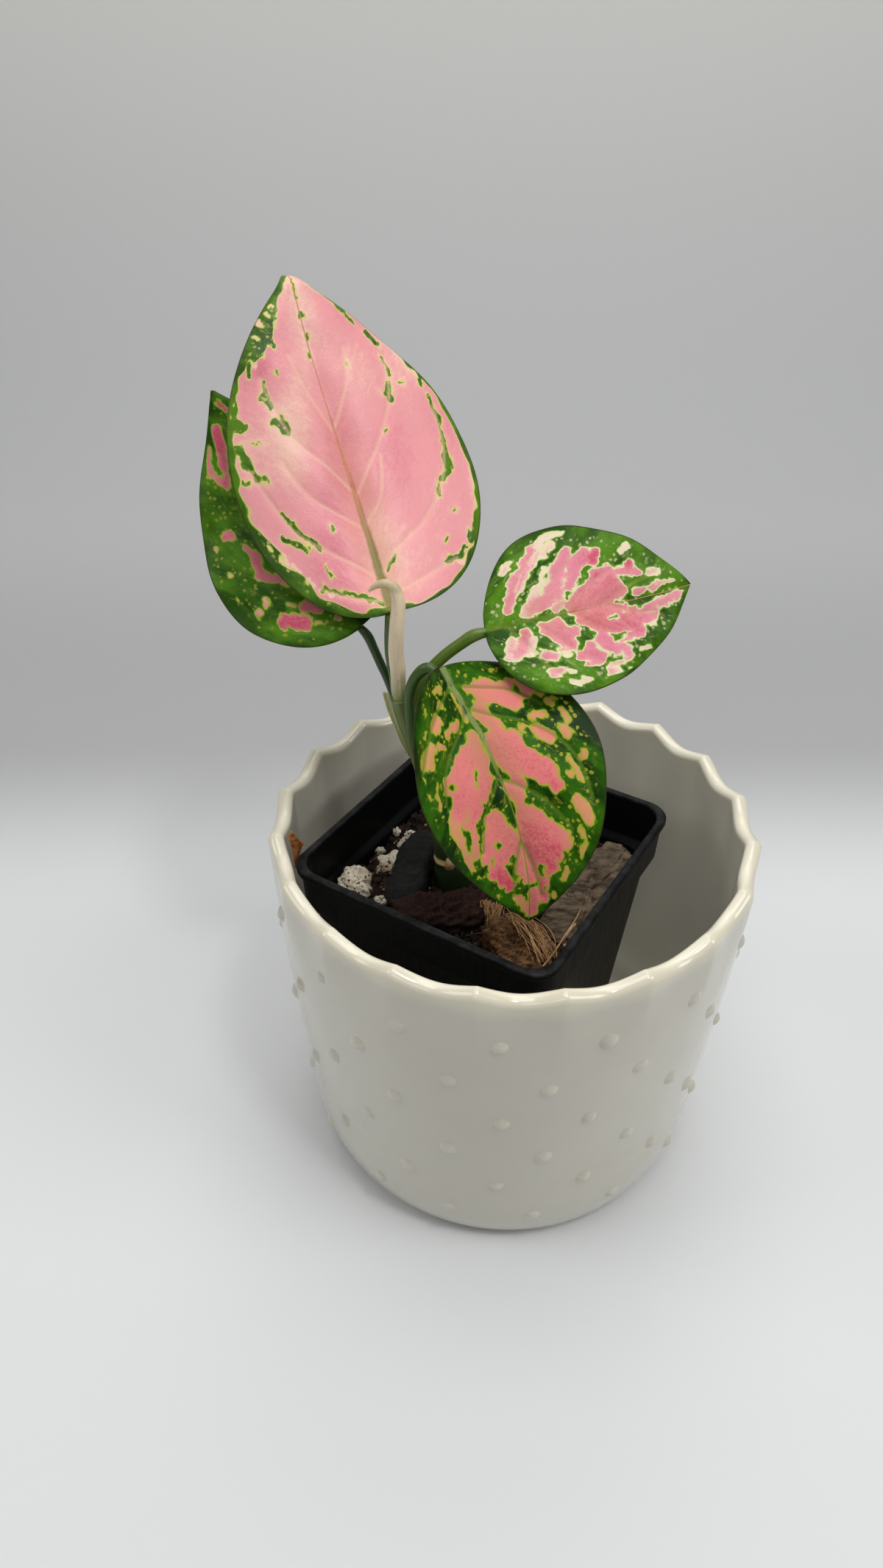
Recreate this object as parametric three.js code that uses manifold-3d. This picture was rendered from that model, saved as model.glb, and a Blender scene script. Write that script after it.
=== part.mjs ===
import * as THREE from 'three';
import { mergeVertices } from 'three/addons/utils/BufferGeometryUtils.js';
import Module from 'manifold-3d';

// A young pink variegated aroid in a square nursery pot, standing in a scalloped ceramic pot.
// Millimetres, +Z up. The origin is the centre of the ceramic pot's flat base, -Y is its front.

const wasm = await Module();
wasm.setup();

// Driving dimensions
const GAP = 0.3;
const SLIVER = 0.02;

const CERAMIC = {
  height: 112,
  rimRadius: 65,
  kneeHeight: 33,
  kneeRadius: 60.8,
  baseRadius: 52.2,
  wall: 4.3,
  floor: 6.5,
  floorRadius: 47,
  lip: 1.9,
};
const SCALLOPS = { count: 20, firstPeakDegrees: 205.56, depth: 2.1, lean: 0.45, fluteStart: 80 };
const DOTS = { rows: 6, perRow: 16, topHeight: 94, rowDrop: 15.3, startDegrees: -95, radius: 2.5, rise: 1.2 };

const NURSERY = {
  centre: [-7, -1.3],
  turnDegrees: -32.1,
  rimHalf: 38.6,
  rimCorner: 6.8,
  rimHeight: 105,
  collar: 13.5,
  baseHalf: 28,
  wall: 1.3,
  lip: 2.2,
  drainRadius: 4,
  drainOffset: 17,
};
NURSERY.foot = CERAMIC.floor + GAP;
NURSERY.ledge = NURSERY.rimHeight - NURSERY.collar;
NURSERY.shoulderHalf = 35.4;

const MIX_LEVEL = 88;
const MIX_BUMP = 1.3;

const BLADE_THICKNESS = 0.7;
const LEAVES = {
  leaf_large: {
    midrib: [[-31, 3.7, 170.5], [-39, 29, 187.3], [-50.5, 43.9, 217], [-55, 54.3, 231.4]],
    faceBase: [0.11, -0.8, 0.59],
    faceTip: [0.35, -0.59, 0.73],
    width: 61.3,
    widest: 0.375,
    taper: 1.4,
    cup: -0.227,
    skew: -0.097,
    curl: 9,
    curlRadius: 5,
    wave: 0.5,
    petiole: [[-28.6, 1.2, 136], [-29.4, 2.6, 141.7], [-30.3, 3.7, 147.4], [-31.1, 4.3, 153.5], [-31.8, 4.6, 158.6],
      [-31.8, 4.6, 163.7], [-31.5, 4.2, 167.8]],
    petioleRadii: [0.8, 1.7, 1.5, 1.35, 1.3, 1.3, 1.35],
  },
  leaf_left: {
    midrib: [[-39, 7.1, 164.7], [-53.9, 21.8, 175.3], [-66.4, 36.1, 189.1], [-76.2, 46.1, 209.7]],
    faceBase: [0.04, -0.66, 0.75],
    faceTip: [-0.49, -0.66, 0.56],
    width: 46.9,
    widest: 0.371,
    taper: 1.053,
    cup: -0.051,
    skew: 0.007,
    curl: 0,
    curlRadius: 5,
    wave: 0.6,
    petiole: [[-27.6, 3, 134], [-29, 5, 139.5], [-30.9, 6.3, 144.8], [-32.7, 7.2, 149.8], [-34.4, 7.5, 154],
      [-36, 7.6, 158.4], [-37.5, 7.6, 162.2]],
    petioleRadii: [0.7, 1.5, 1.3, 1.2, 1.15, 1.15, 1.2],
  },
  leaf_right: {
    midrib: [[-8.7, 5.5, 164.6], [9.2, 4.5, 170.8], [27.7, 10.9, 169], [43.5, 21.5, 169.1]],
    faceBase: [-0.04, -0.58, 0.82],
    faceTip: [0.23, -0.87, 0.43],
    width: 42.3,
    widest: 0.324,
    taper: 0.85,
    cup: -0.02,
    skew: 0.035,
    curl: 0,
    curlRadius: 5,
    wave: 0.5,
    petiole: [[-24, 2.6, 131], [-25, 4.2, 137], [-25.8, 4.9, 143], [-24.8, 5.2, 149.5], [-22, 5.2, 153.8],
      [-18.3, 5.2, 157.9], [-14.2, 5.3, 161.3], [-11.1, 5.4, 163.4]],
    petioleRadii: [0.8, 1.7, 1.6, 1.55, 1.5, 1.5, 1.5, 1.55],
  },
  leaf_front: {
    midrib: [[-19.5, -6.5, 161.4], [-6.5, -19.6, 147.7], [3.2, -33.8, 129], [2.2, -34.1, 105.8]],
    faceBase: [-0.08, 0.33, 0.94],
    faceTip: [0.18, -0.88, 0.45],
    width: 49,
    widest: 0.34,
    taper: 0.943,
    cup: 0.176,
    skew: 0.062,
    curl: 0,
    curlRadius: 5,
    wave: 0.4,
    petiole: [[-23, -2.4, 127], [-24.7, -3.4, 133.5], [-26.2, -3.5, 140], [-26.9, -3.9, 147], [-26.8, -4.4, 153.2],
      [-25.2, -5, 158], [-22.4, -5.8, 160.7]],
    petioleRadii: [0.7, 1.6, 1.45, 1.35, 1.35, 1.35, 1.4],
  },
};

const CANE = {
  path: [[-15.4, 0, 66], [-15.8, 0, 86], [-16.1, 0, 93.5], [-17, 0, 97.5], [-18.2, 0.1, 106], [-20.6, 0.3, 116],
    [-23.2, 0.4, 126], [-25.6, 0.4, 134], [-28, 0.1, 142], [-29.6, -0.9, 149.2]],
  radii: [4.6, 5.2, 5.2, 4.2, 3.7, 3.2, 2.8, 2.5, 2.1, 1.75],
};
const NEW_LEAF = {
  path: [[-29.3, -0.6, 147.6], [-29.8, -1.2, 151.5], [-29.8, -1.8, 157.3], [-30.1, -2.3, 163.5], [-29.7, -2.9, 170.5],
    [-29.2, -3, 176.2], [-30, -3, 179.9], [-32, -3, 181.2], [-34, -3, 180.7], [-35.8, -3, 179.4]],
  radii: [0.9, 1.75, 1.95, 1.95, 1.85, 1.7, 1.45, 1.1, 0.8, 0.35],
};
const SHEATH = {
  // Rows from the foot of the papery sheath to its free tip: inner edge, then outer edge.
  inner: [[-26.9, -0.2, 131.5], [-28.6, 0, 136], [-30.1, 0.3, 141], [-31.3, 0.7, 145.6], [-32.2, 1, 149.4]],
  outer: [[-27.6, -1, 131.8], [-29.6, -0.6, 135.8], [-31.3, 0, 140.6], [-32.9, 0.6, 145.2], [-33.9, 1, 149.8]],
  thickness: 0.6,
};

const CHIPS = {
  bark_chip: { size: [38, 13, 9], at: [20.6, -10.6, 90.6], euler: [0.25, 0.05, 0.93], boxiness: 5, rough: 0.13, seed: 11 },
  charcoal_chip: { size: [30, 10.5, 10], at: [-27.1, 1, 90], euler: [0.1, -0.03, 1.29], boxiness: 4, rough: 0.12, seed: 7 },
  husk_chip_dark: { size: [25, 12.5, 10], at: [-19.6, -15.6, 88.6], euler: [0.12, 0, 0.12], boxiness: 6, rough: 0.1, seed: 23 },
  husk_chip: { size: [18, 14, 12], at: [0.6, -28.4, 88], euler: [0.1, 0.06, -1.05], boxiness: 6, rough: 0.1, seed: 31 },
};
// Loose tufts of the front husk chip's fibres, each from its root to its tip.
const HUSK_FIBRES = [
  [[-2, -24, 92], [0.5, -22.5, 96], [4, -27, 95.4], [9, -34.2, 91.4]],
  [[0, -24, 92], [2, -22, 95.6], [6, -27.5, 94.6], [10, -34, 90.8]],
  [[-3, -26, 92], [-2, -23.5, 96], [2, -28.5, 95.6], [7.6, -35.6, 92]],
  [[-3, -24, 92], [-5, -19.6, 95.6], [-6.4, -18.6, 92], [-7, -18.4, 88.4]],
  [[-1, -23, 92], [-3, -18.6, 95.8], [-4.4, -17.8, 92.4], [-5, -17.8, 88.8]],
];
const FIBRE_RADIUS = 0.45;

const PERLITE = [
  { size: [10, 13, 8], at: [-43.6, -3.8, 90.2], seed: 3 },
  { size: [7.6, 7, 6], at: [-33.2, 4, 90.4], seed: 5 },
  { size: [5.4, 4.6, 4.4], at: [-29.4, 12.8, 90.2], seed: 8 },
  { size: [4, 3.4, 3], at: [-28.4, 17.8, 90], seed: 9 },
  { size: [2.8, 2.4, 2.2], at: [-37, 11.4, 89.4], seed: 13 },
  { size: [2.6, 2.6, 2.2], at: [-32.4, 20, 89.4], seed: 17 },
  { size: [3.6, 3, 2.8], at: [-36, -10.6, 89.8], seed: 19 },
];

const SCRAPS = {
  dry_scrap_left: {
    inner: [[-58.7, -8.2, 100], [-58.8, -8.2, 104], [-59, -8.6, 108.5], [-59.6, -9.6, 113.2]],
    outer: [[-58, -6.2, 100], [-57.2, -6.4, 104.4], [-55.9, -7.4, 108.4], [-58, -8.4, 111.6]],
    bow: 0.5,
  },
  dry_scrap_back: {
    inner: [[-30.2, 37.2, 105.9], [-29.6, 38.5, 106.4], [-28.9, 39.8, 106]],
    outer: [[-28.6, 36.3, 106], [-27.8, 37.3, 107.2], [-27.2, 38.6, 106.5]],
    bow: 0.4,
  },
};

// Materials
const finish = (color, roughness, metalness = 0) => new THREE.MeshStandardMaterial({ color, roughness, metalness });
const MATERIALS = {
  ceramic: finish('#f1efe8', 0.12),
  nursery: finish('#15161a', 0.42),
  mix: finish('#1d1511', 0.95),
  cane: finish('#3d5a2b', 0.45),
  sheath: finish('#a8b878', 0.5),
  newLeaf: finish('#d9c3ab', 0.4),
  palePink: finish('#e8a9a8', 0.35),
  deepPink: finish('#c96a78', 0.35),
  bark: finish('#6f5449', 0.9),
  charcoal: finish('#232423', 0.85),
  darkHusk: finish('#33211c', 0.95),
  husk: finish('#94643a', 0.9),
  perlite: finish('#ded6c4', 0.9),
  scrap: finish('#b9783f', 0.7),
};

// Seeded random numbers in 0 to 1, so that every build gives the same shapes.
function seededRandom(seed) {
  let state = seed >>> 0;
  return () => {
    state = (state + 0x6d2b79f5) >>> 0;
    let mixed = Math.imul(state ^ (state >>> 15), 1 | state);
    mixed = (mixed + Math.imul(mixed ^ (mixed >>> 7), 61 | mixed)) ^ mixed;
    return ((mixed ^ (mixed >>> 14)) >>> 0) / 4294967296;
  };
}

const vector = ([x, y, z]) => new THREE.Vector3(x, y, z);

// Value at t, from 0 to 1, in a list of values spread evenly, blended in a straight line.
function spread(values, t) {
  const place = Math.min(Math.max(t, 0), 1) * (values.length - 1);
  const index = Math.min(Math.floor(place), values.length - 2);
  return THREE.MathUtils.lerp(values[index], values[index + 1], place - index);
}

// A closed solid for joining and cutting, from points and triangles; turned outwards if needed.
function solidFrom(points, triangles) {
  const geometry = new THREE.BufferGeometry();
  geometry.setAttribute('position', new THREE.Float32BufferAttribute(points.flatMap((p) => p.toArray()), 3));
  geometry.setIndex(triangles.flat());
  const merged = mergeVertices(geometry, 1e-4);
  const make = (order) => new wasm.Manifold(
    new wasm.Mesh({
      numProp: 3,
      vertProperties: merged.attributes.position.array,
      triVerts: order,
    }),
  );
  const order = new Uint32Array(merged.index.array);
  const solid = make(order);
  if (solid.volume() > 0) return solid;
  for (let i = 0; i < order.length; i += 3) {
    [order[i + 1], order[i + 2]] = [order[i + 2], order[i + 1]];
  }
  return make(order);
}

function dropAllButPosition(geometry) {
  geometry.deleteAttribute('normal');
  geometry.deleteAttribute('uv');
}

// The points and triangles of a three.js geometry whose shared vertices are merged.
function partsOf(geometry) {
  const merged = mergeVertices(geometry, 1e-4);
  const position = merged.attributes.position;
  const points = [];
  for (let i = 0; i < position.count; i += 1) points.push(new THREE.Vector3().fromBufferAttribute(position, i));
  const triangles = [];
  for (let i = 0; i < merged.index.count; i += 3) triangles.push([...merged.index.array.slice(i, i + 3)]);
  return { points, triangles };
}

function solidFromGeometry(geometry) {
  const { points, triangles } = partsOf(geometry);
  return solidFrom(points, triangles);
}

// A solid lofted through closed rings of points, with a fan of triangles over each end.
function loft(rings) {
  const around = rings[0].length;
  const points = rings.flat();
  const triangles = [];
  for (let i = 0; i + 1 < rings.length; i += 1) {
    for (let j = 0; j < around; j += 1) {
      const a = i * around + j;
      const b = i * around + ((j + 1) % around);
      triangles.push([a, b, b + around], [a, b + around, a + around]);
    }
  }
  const cap = (ring, start, flip) => {
    const centre = ring.reduce((sum, p) => sum.add(p), new THREE.Vector3()).divideScalar(around);
    const hub = points.push(centre) - 1;
    for (let j = 0; j < around; j += 1) {
      const a = start + j;
      const b = start + ((j + 1) % around);
      triangles.push(flip ? [hub, b, a] : [hub, a, b]);
    }
  };
  cap(rings[0], 0, true);
  cap(rings[rings.length - 1], (rings.length - 1) * around, false);
  return solidFrom(points, triangles);
}

// A thin solid sheet: rows of points and face normals, split into triangles alike on both faces.
function sheet(rows, thickness) {
  const columns = rows[0].length;
  const side = (sign) => rows.flat().map(({ point, normal }) => (
    point.clone().addScaledVector(normal, (sign * thickness) / 2)
  ));
  const points = [...side(1), ...side(-1)];
  const under = rows.length * columns;
  const triangles = [];
  for (let i = 0; i + 1 < rows.length; i += 1) {
    for (let j = 0; j + 1 < columns; j += 1) {
      const a = i * columns + j;
      const b = a + 1;
      const c = b + columns;
      const d = a + columns;
      triangles.push([a, b, c], [a, c, d]);
      triangles.push([under + a, under + c, under + b], [under + a, under + d, under + c]);
    }
  }
  const last = (rows.length - 1) * columns;
  const border = [];
  for (let j = 0; j < columns; j += 1) border.push(j);
  for (let i = 1; i < rows.length; i += 1) border.push(i * columns + columns - 1);
  for (let j = columns - 2; j >= 0; j -= 1) border.push(last + j);
  for (let i = rows.length - 2; i > 0; i -= 1) border.push(i * columns);
  border.forEach((a, k) => {
    const b = border[(k + 1) % border.length];
    triangles.push([a, under + a, under + b], [a, under + b, b]);
  });
  return solidFrom(points, triangles);
}

// A closed tube through points, with radii spread along it, made thicker all round by grow.
function tube(path, radii, { sides = 8, steps = 16, grow = 0 } = {}) {
  const curve = new THREE.CatmullRomCurve3(path.map(vector));
  const frames = curve.computeFrenetFrames(steps, false);
  const rings = [];
  for (let i = 0; i <= steps; i += 1) {
    const t = i / steps;
    const centre = curve.getPointAt(t);
    if (i === 0) centre.addScaledVector(frames.tangents[i], -grow);
    if (i === steps) centre.addScaledVector(frames.tangents[i], grow);
    const radius = spread(radii, t) + grow;
    const ring = [];
    for (let j = 0; j < sides; j += 1) {
      const angle = (2 * Math.PI * j) / sides;
      const p = centre.clone();
      p.addScaledVector(frames.normals[i], radius * Math.cos(angle));
      p.addScaledVector(frames.binormals[i], radius * Math.sin(angle));
      ring.push(p);
    }
    rings.push(ring);
  }
  return loft(rings);
}

// A rough lump: a ball pulled towards a box, roughened by seeded noise, turned and placed.
function lump({ size, at, euler = [0, 0, 0], boxiness = 2.4, rough = 0.16, seed }, grow = 0, detail = 1) {
  const ball = new THREE.IcosahedronGeometry(1, detail);
  dropAllButPosition(ball);
  const { points, triangles } = partsOf(ball);
  const random = seededRandom(seed);
  const turn = new THREE.Euler(...euler);
  const place = vector(at);
  const shaped = points.map((direction) => {
    const powers = direction.toArray().map((c) => Math.abs(c) ** boxiness);
    const reach = (powers[0] + powers[1] + powers[2]) ** (-1 / boxiness);
    const bump = 1 + rough * (random() - 0.5) * 2;
    const p = direction.clone().multiplyScalar(reach * bump).multiply(vector(size)).multiplyScalar(0.5);
    return p.addScaledVector(direction, grow).applyEuler(turn).add(place);
  });
  return solidFrom(shaped, triangles);
}

// The joined solids as one.
const join = (solids) => solids.reduce((whole, solid) => whole.add(solid));

// The largest body of a solid: any loose scrap that a cut left is dropped, and slivers are merged.
function largestBody(solid) {
  const largest = solid.decompose().reduce((best, body) => (body.volume() > best.volume() ? body : best));
  return largest.simplify(SLIVER);
}

// The group of named pieces
const plant = new THREE.Group();
plant.name = 'potted_plant';

function addPiece(name, solid, material) {
  const mesh = solid.getMesh();
  const geometry = new THREE.BufferGeometry();
  geometry.setAttribute('position', new THREE.BufferAttribute(Float32Array.from(mesh.vertProperties), 3));
  geometry.setIndex(new THREE.BufferAttribute(Uint32Array.from(mesh.triVerts), 1));
  geometry.computeVertexNormals();
  const piece = new THREE.Mesh(geometry, material);
  piece.name = name;
  plant.add(piece);
}

// Ceramic pot: one wall from the flat base, round the knee and over the scalloped lip to the floor.
// Above the knee the wall leans out less and less, until it is upright at the lip.
function ceramicRadius(z) {
  const { height, rimRadius, kneeHeight, kneeRadius, baseRadius } = CERAMIC;
  if (z < kneeHeight) return baseRadius + (kneeRadius - baseRadius) * Math.sqrt(1 - (1 - z / kneeHeight) ** 2);
  const rise = (z - kneeHeight) / (height - kneeHeight);
  return kneeRadius + (rimRadius - kneeRadius) * Math.sin(rise * (Math.PI / 2));
}

function ceramicPot() {
  const { height, wall, floor, floorRadius, kneeHeight, lip, baseRadius } = CERAMIC;
  const kneeSteps = 3;
  const wallHeights = [SCALLOPS.fluteStart, 98];
  const lipSteps = 4;
  const profile = [];
  for (let i = 0; i <= kneeSteps; i += 1) {
    const z = kneeHeight * (1 - Math.cos((i / kneeSteps) * (Math.PI / 2)));
    profile.push([i === 0 ? baseRadius : ceramicRadius(z), z]);
  }
  wallHeights.forEach((z) => profile.push([ceramicRadius(z), z]));
  const lipMiddle = ceramicRadius(height) - wall / 2;
  for (let i = 0; i <= lipSteps; i += 1) {
    const angle = Math.PI * (i / lipSteps);
    profile.push([lipMiddle + (wall / 2) * Math.cos(angle), height - lip + lip * Math.sin(angle)]);
  }
  [...wallHeights].reverse().forEach((z) => profile.push([ceramicRadius(z) - wall, z]));
  const innerKnee = ceramicRadius(kneeHeight) - wall;
  for (let i = 0; i <= kneeSteps; i += 1) {
    const angle = (i / kneeSteps) * (Math.PI / 2);
    const r = floorRadius + (innerKnee - floorRadius) * Math.cos(angle);
    profile.push([r, kneeHeight - (kneeHeight - floor) * Math.sin(angle)]);
  }
  const perScallop = 4;
  const columns = SCALLOPS.count * perScallop;
  const start = THREE.MathUtils.degToRad(SCALLOPS.firstPeakDegrees);
  const rings = profile.map(([r, z]) => {
    const ring = [];
    const ruffle = THREE.MathUtils.smoothstep(z, SCALLOPS.fluteStart, height);
    for (let j = 0; j < columns; j += 1) {
      const between = (j % perScallop) / perScallop;
      const bite = 1 - (2 * between - 1) ** 2;
      const radius = r + SCALLOPS.lean * ruffle * (1 - 2 * bite);
      const angle = start + (2 * Math.PI * j) / columns;
      const top = z - SCALLOPS.depth * bite * ruffle;
      ring.push(new THREE.Vector3(radius * Math.cos(angle), radius * Math.sin(angle), top));
    }
    return ring;
  });
  return join([loft(rings), ...ceramicDots()]);
}

// Raised glaze dots: low five-sided domes sunk in the wall, each row half a step round from the last.
function ceramicDots() {
  const sunk = 1;
  const sides = 5;
  const dome = new THREE.LatheGeometry(
    [[0, -sunk], [DOTS.radius * 1.08, -sunk], [DOTS.radius * 0.62, DOTS.rise * 0.75], [0, DOTS.rise]].map(
      ([r, h]) => new THREE.Vector2(r, h),
    ),
    sides,
  );
  dropAllButPosition(dome);
  const dots = [];
  for (let row = 0; row < DOTS.rows; row += 1) {
    const z = DOTS.topHeight - row * DOTS.rowDrop;
    const slope = (ceramicRadius(z + 1) - ceramicRadius(z - 1)) / 2;
    const step = 360 / DOTS.perRow;
    for (let k = 0; k < DOTS.perRow; k += 1) {
      const degrees = DOTS.startDegrees + (k + (row % 2) / 2) * step;
      const angle = THREE.MathUtils.degToRad(degrees);
      const out = new THREE.Vector3(Math.cos(angle), Math.sin(angle), -slope).normalize();
      const turn = new THREE.Quaternion().setFromUnitVectors(new THREE.Vector3(0, 1, 0), out);
      const centre = new THREE.Vector3(Math.cos(angle), Math.sin(angle), 0).multiplyScalar(ceramicRadius(z));
      centre.z = z;
      dots.push(solidFromGeometry(dome.clone().applyQuaternion(turn).translate(centre.x, centre.y, centre.z)));
    }
  }
  return dots;
}

addPiece('ceramic_pot', ceramicPot(), MATERIALS.ceramic);

// Nursery pot: a tapered square shell with a stepped collar, a thick lip and drain holes.
const nurseryPlace = new THREE.Matrix4()
  .makeRotationZ(THREE.MathUtils.degToRad(NURSERY.turnDegrees))
  .setPosition(NURSERY.centre[0], NURSERY.centre[1], 0);

// Ring of a square with round corners, with its sides and corners cut in equal steps.
function squareRing(half, z, sideSteps = 1, cornerSteps = 3) {
  const corner = NURSERY.rimCorner * (half / NURSERY.rimHalf);
  const straight = half - corner;
  const ring = [];
  for (let quarter = 0; quarter < 4; quarter += 1) {
    const turn = (quarter * Math.PI) / 2;
    const local = [];
    for (let i = 0; i < sideSteps; i += 1) local.push([half, straight * ((2 * i) / sideSteps - 1)]);
    for (let i = 0; i < cornerSteps; i += 1) {
      const angle = (i / cornerSteps) * (Math.PI / 2);
      local.push([straight + corner * Math.cos(angle), straight + corner * Math.sin(angle)]);
    }
    local.forEach(([x, y]) => {
      const p = new THREE.Vector3(x, y, z).applyAxisAngle(new THREE.Vector3(0, 0, 1), turn);
      ring.push(p.applyMatrix4(nurseryPlace));
    });
  }
  return ring;
}

// The collar stands this far in from the lip, and the ledge below it falls this much.
const COLLAR_SETBACK = 0.9;
const LEDGE_STEP = 1.2;

// Outer half width of the pot's tapered lower body at a height.
function nurseryHalf(z) {
  return THREE.MathUtils.mapLinear(z, NURSERY.foot, NURSERY.ledge, NURSERY.baseHalf, NURSERY.shoulderHalf);
}

function nurseryPot() {
  const { rimHalf, rimHeight, ledge, wall, lip, foot } = NURSERY;
  const collarHalf = rimHalf - COLLAR_SETBACK;
  const profile = [
    [NURSERY.baseHalf - 0.8, foot],
    [NURSERY.baseHalf, foot + 0.8],
    [nurseryHalf(ledge - LEDGE_STEP), ledge - LEDGE_STEP],
    [collarHalf - 0.5, ledge],
    [collarHalf, rimHeight - lip - 0.6],
    [rimHalf, rimHeight - lip],
    [rimHalf, rimHeight - 0.6],
    [rimHalf - 0.6, rimHeight],
    [rimHalf - lip + 0.5, rimHeight],
    [rimHalf - lip, rimHeight - 0.5],
    [collarHalf - wall - 0.3, ledge + 0.4],
    [nurseryHalf(ledge) - wall, ledge - LEDGE_STEP],
    [nurseryHalf(foot) - wall, foot + wall],
  ];
  const shell = loft(profile.map(([half, z]) => squareRing(half, z)));
  const drain = new THREE.CylinderGeometry(NURSERY.drainRadius, NURSERY.drainRadius, 8, 10).rotateX(Math.PI / 2);
  dropAllButPosition(drain);
  const places = [[0, 0], [1, 1], [1, -1], [-1, 1], [-1, -1]];
  const drains = places.map(([x, y]) => {
    const at = new THREE.Vector3(x * NURSERY.drainOffset, y * NURSERY.drainOffset, foot).applyMatrix4(nurseryPlace);
    return solidFromGeometry(drain.clone().translate(at.x, at.y, at.z));
  });
  return drains.reduce((pot, hole) => pot.subtract(hole), shell);
}

addPiece('nursery_pot', nurseryPot(), MATERIALS.nursery);

// Cane: the old stub with its leaf scar ring, leaning up into the young shoot.
const cane = (grow = 0) => tube(CANE.path, CANE.radii, { sides: 10, steps: 22, grow });

// New leaf: still rolled tight, narrow at the foot, with a hooked tip.
const newLeaf = (grow = 0) => tube(NEW_LEAF.path, NEW_LEAF.radii, { sides: 8, steps: 20, grow });

// Half the blade's width at v, from 0 at the petiole to 1 at the tip.
function halfWidth(leaf, v) {
  if (v < leaf.widest) return (leaf.width / 2) * Math.sqrt(1 - (1 - v / leaf.widest) ** 2);
  const s = (v - leaf.widest) / (1 - leaf.widest);
  return (leaf.width / 2) * Math.max(1 - s * s, 0) ** leaf.taper;
}

// The blade's surface: u runs from -1 to 1 across it, v from 0 to 1 along the midrib.
function bladeSurface(leaf) {
  const rib = new THREE.CubicBezierCurve3(...leaf.midrib.map(vector));
  const ribLength = rib.getLength();
  const whole = ribLength + leaf.curl;
  const curlStart = ribLength / whole;
  const least = 0.5;
  return (u, v) => {
    const t = Math.min(v / curlStart, 1);
    const point = rib.getPoint(t);
    const along = rib.getTangent(t);
    const lean = vector(leaf.faceBase).lerp(vector(leaf.faceTip), t);
    const across = along.clone().cross(lean).normalize();
    const out = across.clone().cross(along);
    const turn = (Math.max(v - curlStart, 0) * whole) / leaf.curlRadius;
    point.addScaledVector(along, leaf.curlRadius * Math.sin(turn));
    point.addScaledVector(out, -leaf.curlRadius * (1 - Math.cos(turn)));
    const face = out.clone().multiplyScalar(Math.cos(turn)).addScaledVector(along, Math.sin(turn));
    const half = Math.max(halfWidth(leaf, v), least) * (1 - Math.sign(u) * leaf.skew);
    const ripple = leaf.wave * Math.sin(7 * Math.PI * v + 2 * u) * Math.abs(u) ** 3;
    point.addScaledVector(across, u * half);
    point.addScaledVector(face, leaf.cup * u * u * half + ripple);
    return point;
  };
}

// A leaf in one piece: the blade, and the petiole that runs on under it as the raised midrib.
function leafPetiole(leaf, grow = 0) {
  const surface = bladeSurface(leaf);
  const path = [...leaf.petiole];
  const radii = [...leaf.petioleRadii];
  const end = radii[radii.length - 1];
  [0.03, 0.12, 0.26, 0.42, 0.6, 0.78].forEach((v) => {
    const radius = end * (1 - 0.72 * v) * 0.8;
    const normal = bladeNormal(surface, 0, v);
    path.push(surface(0, v).addScaledVector(normal, -0.8 * radius).toArray());
    radii.push(radius);
  });
  return tube(path, radii, { sides: 7, steps: 22, grow });
}

function bladeNormal(surface, u, v) {
  const step = 0.01;
  const acrossU = surface(Math.min(u + step, 1), v).sub(surface(Math.max(u - step, -1), v));
  const alongV = surface(u, Math.min(v + step, 1)).sub(surface(u, Math.max(v - step, 0)));
  return acrossU.cross(alongV).normalize();
}

function leafSolid(leaf) {
  const surface = bladeSurface(leaf);
  const rowsAlong = 13;
  const columns = 8;
  const rows = [];
  for (let i = 0; i <= rowsAlong; i += 1) {
    const v = 0.5 - 0.5 * Math.cos((Math.PI * (i + 0.12)) / (rowsAlong + 0.24));
    const row = [];
    for (let j = 0; j <= columns; j += 1) {
      const u = -1 + (2 * j) / columns;
      row.push({ point: surface(u, v), normal: bladeNormal(surface, u, v) });
    }
    rows.push(row);
  }
  return sheet(rows, BLADE_THICKNESS).add(leafPetiole(leaf));
}

// Leaves: each clasps the cane a small gap off it, and clears the stalks made before it.
const cleared = [cane(GAP), newLeaf(GAP)];
for (const [name, leaf] of Object.entries(LEAVES)) {
  const solid = cleared.reduce((left, other) => left.subtract(other), leafSolid(leaf));
  const material = name === 'leaf_large' ? MATERIALS.palePink : MATERIALS.deepPink;
  addPiece(name, largestBody(solid), material);
  cleared.push(leafPetiole(leaf, GAP));
}

addPiece('cane', cane().subtract(newLeaf(GAP)), MATERIALS.cane);
addPiece('new_leaf', newLeaf(), MATERIALS.newLeaf);

// A thin curved scrap between two edges, bowed out along its face.
function scrap({ inner, outer, bow, thickness = 0.6 }) {
  const from = new THREE.CatmullRomCurve3(inner.map(vector));
  const to = new THREE.CatmullRomCurve3(outer.map(vector));
  const surface = (u, v) => {
    const a = from.getPoint(v);
    const b = to.getPoint(v);
    const side = b.clone().sub(a);
    const face = side.clone().cross(from.getTangent(v)).normalize();
    return a.addScaledVector(side, u).addScaledVector(face, bow * Math.sin(Math.PI * u));
  };
  const rows = [];
  const rowsAlong = 5;
  const columns = 4;
  for (let i = 0; i <= rowsAlong; i += 1) {
    const row = [];
    for (let j = 0; j <= columns; j += 1) {
      const u = j / columns;
      const v = i / rowsAlong;
      const acrossU = surface(Math.min(u + 0.01, 1), v).sub(surface(Math.max(u - 0.01, 0), v));
      const alongV = surface(u, Math.min(v + 0.01, 1)).sub(surface(u, Math.max(v - 0.01, 0)));
      row.push({ point: surface(u, v), normal: acrossU.cross(alongV).normalize() });
    }
    rows.push(row);
  }
  return sheet(rows, thickness);
}

const sheath = cleared.reduce((left, other) => left.subtract(other), scrap({ ...SHEATH, bow: 0.3 }));
addPiece('papery_sheath', largestBody(sheath), MATERIALS.sheath);
Object.entries(SCRAPS).forEach(([name, shape]) => addPiece(name, scrap(shape), MATERIALS.scrap));

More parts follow.
